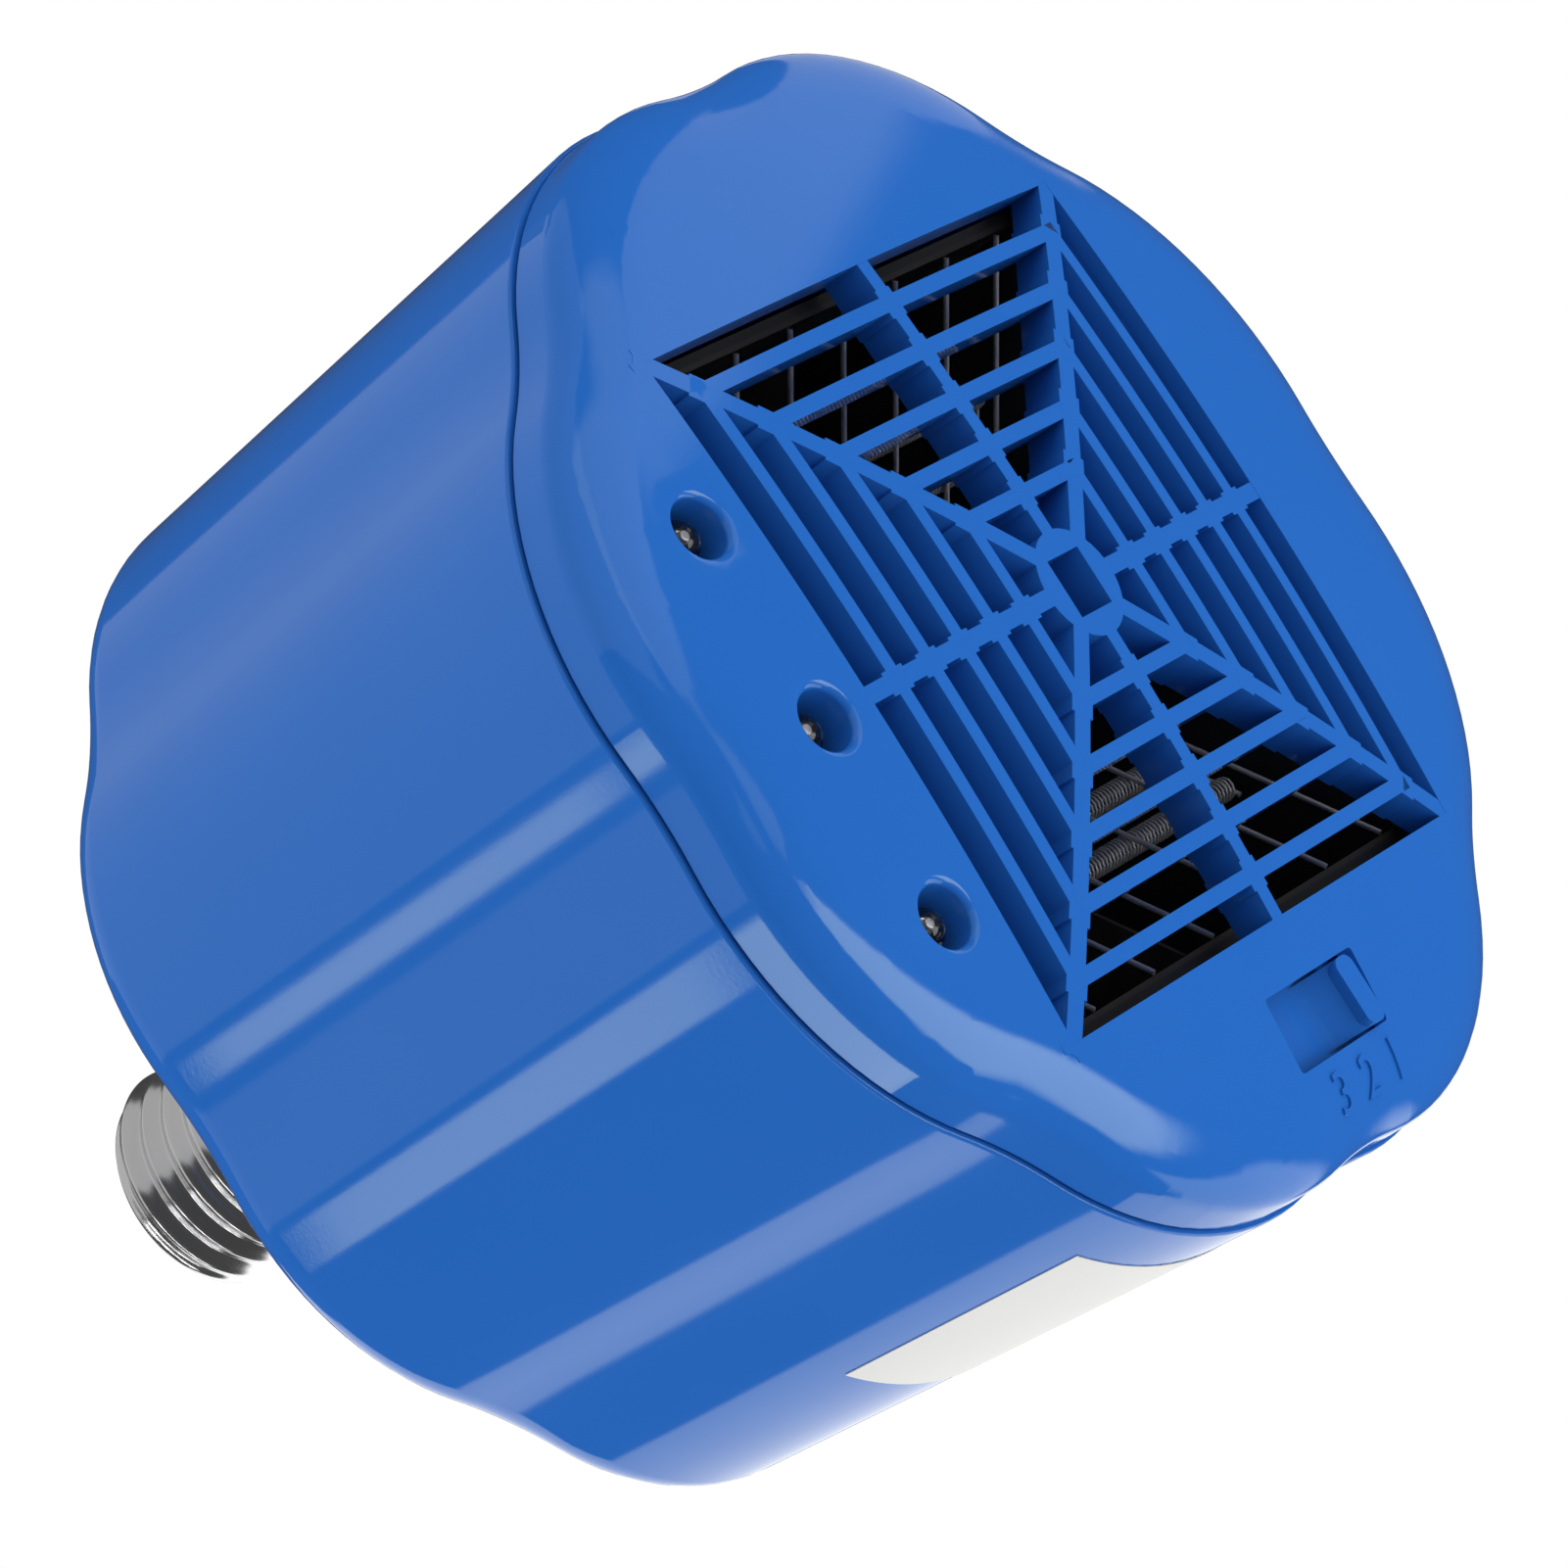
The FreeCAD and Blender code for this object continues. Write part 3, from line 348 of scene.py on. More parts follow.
def outline(inset, lobe_steps=16, dip_steps=10):
    """Points of the lobed outline, moved inwards by inset."""
    points = []
    for k in range(8):
        lobe_angle, dip_angle = math.radians(45 * k + 22.5), math.radians(45 * k + 45)
        lobe = Vector((lobe_centre * math.cos(lobe_angle), lobe_centre * math.sin(lobe_angle)))
        dip = Vector((dip_centre * math.cos(dip_angle), dip_centre * math.sin(dip_angle)))
        towards = math.atan2((dip - lobe).y, (dip - lobe).x)
        swing = (towards - lobe_angle + math.pi) % (2 * math.pi) - math.pi
        for step in range(lobe_steps):
            angle = lobe_angle - swing + 2 * swing * step / lobe_steps
            points.append(lobe + (lobe_curve - inset) * Vector((math.cos(angle), math.sin(angle))))
        back = (dip_angle - towards + math.pi) % (2 * math.pi) - math.pi
        for step in range(dip_steps):
            angle = towards + math.pi + 2 * back * step / dip_steps
            points.append(dip + (dip_curve + inset) * Vector((math.cos(angle), math.sin(angle))))
    return points


def ring_body(name, rings):
    """A closed body from a chain of (inset, z) rings, with a flat cap on its first and last."""
    vertices, faces = [], []
    for inset, z in rings:
        vertices += [(x, y, z) for x, y in outline(inset)]
    count = len(vertices) // len(rings)
    for ring in range(len(rings) - 1):
        a, b = ring * count, (ring + 1) * count
        faces += [(a + k, a + (k + 1) % count, b + (k + 1) % count, b + k) for k in range(count)]
    faces.append(tuple(range(count)))
    faces.append(tuple(range((len(rings) - 1) * count, len(rings) * count)))
    return outward(mesh_object(name, vertices, faces))


print("outline", len(outline(0)), "points, lobe arc mm", round(lobe_curve / mm, 2))

# %% [markdown]
# The tub is the big blue wall. It leans inwards by a few degrees towards the rear, so that it leaves its
# mould, and its rear corner is a true round. One chain of rings runs up the outside, over the rear, and
# the inner wall is a second closed body that is cut out of the first.

# %% The tapered tub
parting_z, rear_z = -134.4 * mm, -56.3 * mm
wall, rear_wall, draft = 2.2 * mm, 2.4 * mm, 5.6 * mm
lean = draft / (rear_z - parting_z)


def tub_rings(inset, top, corner, rim_round):
    """Rings of the leaning wall from the rim to the flat rear."""
    rings = []
    for step in range(4):
        angle = math.radians(90 * step / 3)
        rings.append((inset + rim_round * (1 - math.sin(angle)),
                      parting_z + rim_round * (1 - math.cos(angle))))
    corner_start = top - corner * (1 - math.sin(math.atan(lean)))
    for step in range(1, 8):
        z = parting_z + (corner_start - parting_z) * step / 8
        rings.append((inset + lean * (z - parting_z), z))
    centre_z = top - corner
    centre_inset = inset + lean * (centre_z - parting_z) + corner / math.cos(math.atan(lean))
    for step in range(11):
        angle = math.atan(lean) + (math.pi / 2 - math.atan(lean)) * step / 10
        rings.append((centre_inset - corner * math.cos(angle), centre_z + corner * math.sin(angle)))
    return rings


tub = ring_body("housing_tub", tub_rings(0, rear_z, 6.8 * mm, 0.35 * mm))
hollow = ring_body("hollow", [(wall, parting_z - mm)] + tub_rings(wall, rear_z - rear_wall, 4.6 * mm, 0))
tub = combine(tub, hollow, "DIFFERENCE")
print("tub faces", len(tub.data.polygons))

# %% [markdown]
# The rear takes its air in through a ring of round-ended slots. Slots repeat, so Geometry Nodes lay one
# slot tool round a circle. The modifier's inputs carry the sizes, and the result is baked to a mesh that
# cuts all slots at once. Four screw wells go through near the corners.

# %% Geometry Nodes tree that repeats a shape round the axis


def node_tree(name, inputs):
    """An empty geometry tree with named inputs and one geometry output."""
    tree = bpy.data.node_groups.new(name, "GeometryNodeTree")
    sockets = {}
    for label, kind, value in inputs:
        socket = tree.interface.new_socket(name=label, in_out="INPUT", socket_type="NodeSocket" + kind)
        if value is not None:
            socket.default_value = value
        sockets[label] = socket.identifier
    tree.interface.new_socket(name="Geometry", in_out="OUTPUT", socket_type="NodeSocketGeometry")
    return tree, tree.nodes.new("NodeGroupInput"), tree.nodes.new("NodeGroupOutput"), sockets


def linked(tree, kind, values=None, **links):
    """A node with plain values and links, by socket name."""
    node = tree.nodes.new(kind)
    for label, value in (values or {}).items():
        node.inputs[label].default_value = value
    for label, source in links.items():
        tree.links.new(source, node.inputs[label.replace("_", " ")])
    return node


def tree_object(name, base, tree, sockets, values):
    """An object whose shape a tree makes, baked to a plain mesh."""
    modifier = base.modifiers.new("tree", "NODES")
    modifier.node_group = tree
    for label, value in values.items():
        modifier[sockets[label]] = value
    return baked(base, name)


around, around_in, around_out, around_sockets = node_tree("around_axis", [
    ("Geometry", "Geometry", None), ("Count", "Int", 16), ("First Angle", "Float", 0.0),
    ("Material", "Material", None)])
points = linked(around, "GeometryNodePoints", Count=around_in.outputs["Count"])
index = around.nodes.new("GeometryNodeInputIndex")
share = linked(around, "ShaderNodeMath", None)
share.operation = "DIVIDE"
around.links.new(index.outputs[0], share.inputs[0])
around.links.new(around_in.outputs["Count"], share.inputs[1])
turn = linked(around, "ShaderNodeMath", None)
turn.operation = "MULTIPLY_ADD"
around.links.new(share.outputs[0], turn.inputs[0])
turn.inputs[1].default_value = 2 * math.pi
around.links.new(around_in.outputs["First Angle"], turn.inputs[2])
spin = linked(around, "ShaderNodeCombineXYZ", Z=turn.outputs[0])
copies = linked(around, "GeometryNodeInstanceOnPoints", Points=points.outputs[0],
                Instance=around_in.outputs["Geometry"])
around.links.new(spin.outputs[0], copies.inputs["Rotation"])
real = linked(around, "GeometryNodeRealizeInstances", Geometry=copies.outputs[0])
coloured = linked(around, "GeometryNodeSetMaterial", Geometry=real.outputs[0],
                  Material=around_in.outputs["Material"])
around.links.new(coloured.outputs[0], around_out.inputs[0])
print("tree", around.name, "with inputs", sorted(around_sockets))

# %% Cut the air slots and the screw wells


def slot_tool(name, start, end, half_width, low, high, steps=8):
    """One round-ended radial slot as a closed prism along +X."""
    rim = []
    for step in range(steps + 1):
        angle = -math.pi / 2 + math.pi * step / steps
        rim.append((end + half_width * math.cos(angle), half_width * math.sin(angle)))
    for step in range(steps + 1):
        angle = math.pi / 2 + math.pi * step / steps
        rim.append((start + half_width * math.cos(angle), half_width * math.sin(angle)))
    count = len(rim)
    vertices = [(x, y, low) for x, y in rim] + [(x, y, high) for x, y in rim]
    faces = [tuple(range(count))[::-1], tuple(range(count, 2 * count))]
    faces += [(k, (k + 1) % count, (k + 1) % count + count, k + count) for k in range(count)]
    return mesh_object(name, vertices, faces)


one_slot = slot_tool("one_slot", 20.5 * mm, 36.0 * mm, 1.6 * mm, rear_z - 4 * mm, rear_z + mm)
slots = tree_object("slots", one_slot, around, around_sockets,
                    {"Count": 16, "First Angle": math.radians(11.25), "Material": housing_blue})
tub = combine(tub, slots, "DIFFERENCE")
screw_places = [(sx * 44.0 * mm, sy * 29.0 * mm) for sx in (1, -1) for sy in (1, -1)]
for x, y in screw_places:
    well = lathe("well", [(0, -121.2 * mm), (4.2 * mm, -121.2 * mm), (4.2 * mm, rear_z - 1.2 * mm),
                          (0, rear_z - 1.2 * mm)], (x, y), 32)
    tub = combine(tub, well, "UNION")
for x, y in screw_places:
    bore = lathe("bore", [(0, -121.0 * mm), (3.4 * mm, -121.0 * mm), (3.4 * mm, rear_z + mm),
                          (0, rear_z + mm)], (x, y), 32)
    tub = combine(tub, bore, "DIFFERENCE")
print("tub faces", len(tub.data.polygons))

# %% [markdown]
# The neck carries the screw shell. It is a plain turned tube that grows out of the rear in a small
# round, and it is joined to the tub so that no seam shows.

# %% The neck
neck_top = -27.2 * mm
neck_profile = [(0, rear_z - 1.5 * mm), (17.4 * mm, rear_z - 1.5 * mm), (17.4 * mm, rear_z)]
neck_profile += [(17.2 * mm - 3.0 * mm * math.sin(a), rear_z + 3.0 * mm * (1 - math.cos(a)))
                 for a in [math.pi / 2 * k / 8 for k in range(9)]]
neck_profile += [(14.2 * mm, neck_top - 0.4 * mm), (14.08 * mm, neck_top - 0.12 * mm), (13.8 * mm, neck_top),
                 (11.6 * mm, neck_top), (11.6 * mm, -12.2 * mm), (0, -12.2 * mm)]
tub = combine(tub, lathe("neck", neck_profile, steps=96), "UNION")
neck_bore = [(0, -60 * mm), (9.0 * mm, -60 * mm), (9.0 * mm, -11 * mm), (0, -11 * mm)]
tub = combine(tub, lathe("neck_bore", neck_bore, steps=48), "DIFFERENCE")
tub.data.materials.clear()
tub.data.materials.append(housing_blue)
weighted(smooth(tub, 40))
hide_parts("body_shell")
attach(tub, "housing")
print("tub faces", len(tub.data.polygons))

# %% [markdown]
# The front cover is domed, but its grille, wells and slot are easiest to cut while it is flat. So it is
# made flat, from rings like the tub, and bent at the end: every point is pushed back by the depth of a
# large sphere under it, fully on the face and not at all at the rim.

# %% The flat cover blank
dome_low_z = -147.1 * mm
dome_radius = 490.0 * mm
cover_step = 0.5 * mm
seam_gap = 0.25 * mm
rim_height = parting_z - seam_gap - dome_low_z
shoulder_reach, shoulder_height = 8.3 * mm, 5.6 * mm


def shoulder(inset, steps):
    """Rings of the elliptical shoulder from the side band to the face, in the flat state."""
    reach, height = shoulder_reach - inset, shoulder_height - inset
    rings = []
    for step in range(steps + 1):
        angle = math.pi / 2 * step / steps
        rings.append((cover_step + inset + reach * (1 - math.cos(angle)),
                      inset + height * (1 - math.sin(angle))))
    return rings


rim = [(cover_step + 0.3 * mm, rim_height), (cover_step + 0.09 * mm, rim_height - 0.09 * mm),
       (cover_step, rim_height - 0.3 * mm)]
sides = [(cover_step, rim_height - 0.3 * mm + (shoulder_height - rim_height) * k / 4) for k in range(1, 4)]
tongue = [(2.7 * mm, rim_height + 3.9 * mm), (2.7 * mm, rim_height)]
cover = ring_body("cover_blank", tongue + rim + sides + shoulder(0, 14))
inner_sides = [(4.2 * mm, rim_height + 5 * mm), (4.2 * mm, rim_height - 2 * mm)]
inside = ring_body("inside", inner_sides + shoulder(wall, 8))
cover = combine(cover, inside, "DIFFERENCE")
print("cover faces", len(cover.data.polygons))

# %% [markdown]
# The grille is a square spider's web: five square rings of ribs, a cross, two diagonals and a hub. It
# follows a rule, so Geometry Nodes lay it out: ribs on a line of points, that row copied to four sides,
# spokes turned round the middle, and small moulding pads where ribs and spokes cross. An exact join
# makes it one shape.

# The web lies a hair behind the face, by web_sink, so that no two faces share a plane where they join.

# %% Geometry Nodes tree for the web
web_sink = 0.04 * mm
web, web_in, web_out, web_sockets = node_tree("spider_web", [
    ("Half", "Float", 39 * mm), ("Rings", "Int", 5), ("First Ring", "Float", 10.6 * mm),
    ("Ring Step", "Float", 5.85 * mm), ("Rib Width", "Float", 1.75 * mm), ("Rib Depth", "Float", 5.5 * mm),
    ("Cross Width", "Float", 1.95 * mm), ("Diagonal Width", "Float", 2.1 * mm),
    ("Frame Width", "Float", 1.8 * mm), ("Pad", "Float", 0.35 * mm), ("Pad Length", "Float", 3.4 * mm),
    ("Hub Radius", "Float", 6.1 * mm), ("Material", "Material", None)])


def value_of(tree, operation, first, second=0.0, third=None):
    node = tree.nodes.new("ShaderNodeMath")
    node.operation = operation
    for slot_index, value in enumerate((first, second, third)):
        if value is None:
            continue
        if isinstance(value, (int, float)):
            node.inputs[slot_index].default_value = value
        else:
            tree.links.new(value, node.inputs[slot_index])
    return node.outputs[0]


def vector_of(tree, x=0.0, y=0.0, z=0.0):
    node = tree.nodes.new("ShaderNodeCombineXYZ")
    for slot_index, value in enumerate((x, y, z)):
        if isinstance(value, (int, float)):
            node.inputs[slot_index].default_value = value
        else:
            tree.links.new(value, node.inputs[slot_index])
    return node.outputs[0]


def rows(tree, count, place, scale, turn=None):
    """Unit cubes on points, placed, scaled and turned by index, as instances."""
    dots = tree.nodes.new("GeometryNodePoints")
    if isinstance(count, int):
        dots.inputs["Count"].default_value = count
    else:
        tree.links.new(count, dots.inputs["Count"])
    tree.links.new(place, dots.inputs["Position"])
    cube = tree.nodes.new("GeometryNodeMeshCube")
    cube.inputs["Size"].default_value = (1, 1, 1)
    put = tree.nodes.new("GeometryNodeInstanceOnPoints")
    tree.links.new(dots.outputs[0], put.inputs["Points"])
    tree.links.new(cube.outputs["Mesh"], put.inputs["Instance"])
    tree.links.new(scale, put.inputs["Scale"])
    if turn is not None:
        tree.links.new(turn, put.inputs["Rotation"])
    return put.outputs[0]


def four_sides(tree, geometry, first_turn=0.0):
    """Copies a geometry to the four sides of the square."""
    dots = tree.nodes.new("GeometryNodePoints")
    dots.inputs["Count"].default_value = 4
    number = tree.nodes.new("GeometryNodeInputIndex").outputs[0]
    put = tree.nodes.new("GeometryNodeInstanceOnPoints")
    tree.links.new(dots.outputs[0], put.inputs["Points"])
    tree.links.new(geometry, put.inputs["Instance"])
    tree.links.new(vector_of(tree, z=value_of(tree, "MULTIPLY_ADD", number, math.pi / 2, first_turn)),
                   put.inputs["Rotation"])
    return put.outputs[0]


number = web.nodes.new("GeometryNodeInputIndex").outputs[0]
half, depth = web_in.outputs["Half"], web_in.outputs["Rib Depth"]
middle_z = value_of(web, "MULTIPLY", depth, 0.5)
ring_half = value_of(web, "MULTIPLY_ADD", number, web_in.outputs["Ring Step"], web_in.outputs["First Ring"])
rib_length = value_of(web, "MULTIPLY_ADD", ring_half, 2.0, web_in.outputs["Rib Width"])
ribs = rows(web, web_in.outputs["Rings"], vector_of(web, x=0.0, y=ring_half, z=middle_z),
            vector_of(web, rib_length, web_in.outputs["Rib Width"], depth))
frame_place = value_of(web, "MULTIPLY_ADD", web_in.outputs["Frame Width"], 0.5, half)
frame_place = value_of(web, "ADD", frame_place, web_sink)
frame_reach = value_of(web, "MULTIPLY_ADD", web_in.outputs["Frame Width"], 0.3, half)
frame_length = value_of(web, "MULTIPLY", frame_reach, 2.0)
edge = rows(web, 1, vector_of(web, y=frame_place, z=middle_z),
            vector_of(web, frame_length, web_in.outputs["Frame Width"], depth))
spoke_length = value_of(web, "ADD", half, value_of(web, "MULTIPLY", web_in.outputs["Frame Width"], 0.5))
cross = rows(web, 1, vector_of(web, y=value_of(web, "MULTIPLY", spoke_length, 0.5), z=middle_z),
             vector_of(web, web_in.outputs["Cross Width"], spoke_length, depth))
corner_length = value_of(web, "MULTIPLY", spoke_length, math.sqrt(2))
diagonal_place = vector_of(web, y=value_of(web, "MULTIPLY", corner_length, 0.5), z=middle_z)
diagonal_size = vector_of(web, web_in.outputs["Diagonal Width"], corner_length, depth)
diagonal = four_sides(web, rows(web, 1, diagonal_place, diagonal_size), math.pi / 4)
pad_width = value_of(web, "MULTIPLY_ADD", web_in.outputs["Pad"], 2.0, web_in.outputs["Cross Width"])
cross_pads = rows(web, web_in.outputs["Rings"], vector_of(web, y=ring_half, z=middle_z),
                  vector_of(web, pad_width, web_in.outputs["Pad Length"], depth))
corner_pad_width = value_of(web, "MULTIPLY_ADD", web_in.outputs["Pad"], 2.0, web_in.outputs["Diagonal Width"])
corner_pads = four_sides(web, rows(
    web, web_in.outputs["Rings"],
    vector_of(web, y=value_of(web, "MULTIPLY", ring_half, math.sqrt(2)), z=middle_z),
    vector_of(web, corner_pad_width, web_in.outputs["Pad Length"], depth)), math.pi / 4)
hub = linked(web, "GeometryNodeMeshCylinder", {"Vertices": 40}, Radius=web_in.outputs["Hub Radius"],
             Depth=depth)
hub_up = linked(web, "GeometryNodeTransform", Geometry=hub.outputs["Mesh"],
                Translation=vector_of(web, z=middle_z))
join_side = web.nodes.new("GeometryNodeJoinGeometry")
for part in (ribs, edge, cross, cross_pads):
    web.links.new(part, join_side.inputs[0])
join_web = web.nodes.new("GeometryNodeJoinGeometry")
for part in (four_sides(web, join_side.outputs[0]), diagonal, corner_pads, hub_up.outputs[0]):
    web.links.new(part, join_web.inputs[0])
real_web = linked(web, "GeometryNodeRealizeInstances", Geometry=join_web.outputs[0])
fused = web.nodes.new("GeometryNodeMeshBoolean")
fused.operation, fused.solver = "UNION", "EXACT"
fused.inputs["Self Intersection"].default_value = True
web.links.new(real_web.outputs[0], fused.inputs["Mesh 2"])
web_coloured = linked(web, "GeometryNodeSetMaterial", Geometry=fused.outputs["Mesh"],
                      Material=web_in.outputs["Material"])
web.links.new(web_coloured.outputs[0], web_out.inputs[0])
web_piece = tree_object("web", mesh_object("web_start", [], []), web, web_sockets, {"Material": housing_blue})
web_piece.data.transform(Matrix.Translation((0, 0, web_sink)))
print("web faces", len(web_piece.data.polygons))

# %% Join the web to the cover and cut the hub's hole, the wells and the switch slot
opening = brick("opening", (-grille_half, -grille_half, -mm), (grille_half, grille_half, 9 * mm))
cover = combine(cover, opening, "DIFFERENCE")
cover = combine(cover, web_piece, "UNION")
hub_hole_x, hub_hole_y = 3.3 * mm, 3.0 * mm
cover = combine(cover, brick("hub_hole", (-hub_hole_x, -hub_hole_y, -mm), (hub_hole_x, hub_hole_y, 9 * mm)),
                "DIFFERENCE")
well_radius, well_round = 3.35 * mm, 0.95 * mm
lamp_places = [(k * 22.1 * mm, -45.8 * mm) for k in (-1, 0, 1)]
for x, y in lamp_places:
    tube = lathe("tube", [(0, 0.6 * mm), (5.3 * mm, 0.6 * mm), (5.3 * mm, 8 * mm), (0, 8 * mm)], (x, y), 48)
    cover = combine(cover, tube, "UNION")
for x, y in lamp_places:
    mouth = [(0, -mm), (well_radius + well_round, -mm)]
    mouth += [(well_radius + well_round * (1 - math.sin(a)), well_round * (1 - math.cos(a)))
              for a in [math.pi / 2 * k / 8 for k in range(9)]]
    mouth += [(well_radius, 5 * mm), (2.9 * mm, 9 * mm), (0, 9 * mm)]
    cover = combine(cover, lathe("bore", mouth, (x, y), 64), "DIFFERENCE")
switch_x, slot_half_length, slot_half_width = -49.5 * mm, 9.0 * mm, 4.15 * mm


def rounded_prism(name, half_x, half_y, radius, low, high, centre=(0, 0), steps=5):
    """A closed prism on a rounded rectangle."""
    rim = []
    for quarter, (sx, sy) in enumerate(((1, 1), (-1, 1), (-1, -1), (1, -1))):
        for step in range(steps + 1):
            angle = math.pi / 2 * (quarter + step / steps)
            rim.append((centre[0] + sx * (half_x - radius) + radius * math.cos(angle),
                        centre[1] + sy * (half_y - radius) + radius * math.sin(angle)))
    count = len(rim)
    vertices = [(x, y, low) for x, y in rim] + [(x, y, high) for x, y in rim]
    faces = [tuple(range(count))[::-1], tuple(range(count, 2 * count))]
    faces += [(k, (k + 1) % count, (k + 1) % count + count, k + count) for k in range(count)]
    return mesh_object(name, vertices, faces)


cover = combine(cover, rounded_prism("slot", slot_half_width, slot_half_length, 0.5 * mm, -mm, 5 * mm,
                                     (switch_x, 0)), "DIFFERENCE")
print("cover faces", len(cover.data.polygons))

# %% [markdown]
# Moulded edges are never knife sharp. Edges of the grille, hub and slot get a small bevel, chosen by how
# sharply their faces meet, and then the blank is sliced into small squares and bent to its dome.

# %% Soften the edges, then bend the cover to its dome


def dome_drop(x, y):
    return dome_radius - math.sqrt(dome_radius ** 2 - x * x - y * y)


slice_shift = 0.137 * mm


def bend_to_dome(piece, spacing=4 * mm):
    """Slices a flat piece into squares, and pushes each point back by the dome's depth."""
    work = bmesh.new()
    work.from_mesh(piece.data)
    for axis in (Vector((1, 0, 0)), Vector((0, 1, 0))):
        for k in range(-16, 17):
            everything = list(work.verts) + list(work.edges) + list(work.faces)
            bmesh.ops.bisect_plane(work, geom=everything, dist=1e-7,
                                   plane_co=axis * (k * spacing + slice_shift), plane_no=axis)
    for vertex in work.verts:
        share = min(max(1 - vertex.co.z / rim_height, 0.0), 1.0)
        vertex.co.z += dome_drop(vertex.co.x, vertex.co.y) * share + dome_low_z
    work.to_mesh(piece.data)
    work.free()
    return piece


softening = cover.modifiers.new("soften", "BEVEL")
softening.width = 0.22 * mm
softening.segments = 2
softening.limit_method = "ANGLE"
softening.angle_limit = math.radians(62)
softening.use_clamp_overlap = True
cover = baked(cover, "front_cover_skin")
cover = bend_to_dome(cover)
cover.data.materials.clear()
cover.data.materials.append(housing_blue)
smooth(cover, 25)
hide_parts("front_cover")
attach(cover, "housing")
print("cover faces", len(cover.data.polygons))

# %% [markdown]
# The screw shell is rolled from thin sheet, so its thread is a smooth wave and not a cut one. Radius
# follows height and angle together, which gives a true right-hand helix, and the wave fades out at the
# lip and at the skirt.

# %% The rolled screw shell
crest_radius, root_radius, thread_pitch, first_crest = 13.15 * mm, 12.2 * mm, 3.629 * mm, -7.4 * mm


def fade(value, start, end):
    share = min(max((value - start) / (end - start), 0.0), 1.0)
    return share * share * (3 - 2 * share)


def shell_radius(angle, z):
    phase = (z - first_crest) / thread_pitch - angle / (2 * math.pi)
    swell = 0.5 + 0.5 * math.cos(2 * math.pi * phase)
    amount = fade(-z, 5.4 * mm, 7.2 * mm) * fade(z, -25.6 * mm, -23.4 * mm)
    return root_radius + (crest_radius - root_radius) * swell * amount


shell_steps = 144
shell_vertices, shell_faces = [], []
heights = [-5.5 * mm - 0.16 * mm * k for k in range(127)]
for step in range(shell_steps):
    angle = 2 * math.pi * step / shell_steps
    around_point = (math.cos(angle), math.sin(angle))
    column = [(10.2 * mm, -5.1 * mm), (10.15 * mm, -4.75 * mm), (10.45 * mm, -4.6 * mm),
              (11.1 * mm, -4.68 * mm), (11.7 * mm, -4.95 * mm)]
    column += [(shell_radius(angle, z), z) for z in heights]
    column += [(12.5 * mm, -26.2 * mm), (13.0 * mm, -26.7 * mm), (13.1 * mm, -27.0 * mm),
               (12.9 * mm, -27.15 * mm), (11.95 * mm, -27.15 * mm), (11.95 * mm, -5.7 * mm),
               (11.3 * mm, -5.3 * mm)]
    shell_vertices += [(r * around_point[0], r * around_point[1], z) for r, z in column]
    size = len(column)
    a, b = step * size, (step + 1) % shell_steps * size
    shell_faces += [(a + k, b + k, b + (k + 1) % size, a + (k + 1) % size) for k in range(size)]
shell = outward(mesh_object("threaded_shell", shell_vertices, shell_faces))
shell.data.materials.append(rolled_metal)
smooth(shell, 50)
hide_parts("screw_shell")
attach(shell, "housing")
print("shell faces", len(shell.data.polygons))

# %% [markdown]
# Heater coils are wound wire. A Geometry Nodes tree winds a helix of a given length, radius and pitch,
# gives it a round section, and lays it at its place across the support wires.

# %% Geometry Nodes tree that winds a coil
winding, winding_in, winding_out, winding_sockets = node_tree("wound_coil", [
    ("Length", "Float", 68 * mm), ("Radius", "Float", 1.25 * mm), ("Turns", "Float", 96.0),
    ("Wire Radius", "Float", 0.16 * mm), ("Place", "Vector", (0, 0, 0)), ("Material", "Material", None)])
helix = linked(winding, "GeometryNodeCurveSpiral", {"Resolution": 12, "Reverse": False},
               Rotations=winding_in.outputs["Turns"], Start_Radius=winding_in.outputs["Radius"],
               End_Radius=winding_in.outputs["Radius"], Height=winding_in.outputs["Length"])
section = linked(winding, "GeometryNodeCurvePrimitiveCircle", {"Resolution": 5},
                 Radius=winding_in.outputs["Wire Radius"])
tube = linked(winding, "GeometryNodeCurveToMesh", {"Fill Caps": True}, Curve=helix.outputs[0],
              Profile_Curve=section.outputs[0])
lay = linked(winding, "GeometryNodeTransform", {"Rotation": (-math.pi / 2, 0, 0)}, Geometry=tube.outputs[0],
             Translation=winding_in.outputs["Place"])
rounded = linked(winding, "GeometryNodeSetShadeSmooth", Geometry=lay.outputs[0])
real_coil = linked(winding, "GeometryNodeRealizeInstances", Geometry=rounded.outputs[0])
coil_coloured = linked(winding, "GeometryNodeSetMaterial", Geometry=real_coil.outputs[0],
                       Material=winding_in.outputs["Material"])
winding.links.new(coil_coloured.outputs[0], winding_out.inputs[0])
for node in ("inner_right", "outer_right", "inner_left", "outer_left"):
    low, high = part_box("heater_coil_" + node)
    place = ((low[0] + high[0]) / 2, low[1], (low[2] + high[2]) / 2)
    coil = tree_object("coil_" + node, mesh_object("coil_start", [], []), winding, winding_sockets,
                       {"Length": high[1] - low[1], "Place": place, "Material": drawn_wire})
    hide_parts("heater_coil_" + node)
    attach(coil, "housing")
    print(coil.name, "faces", len(coil.data.polygons))
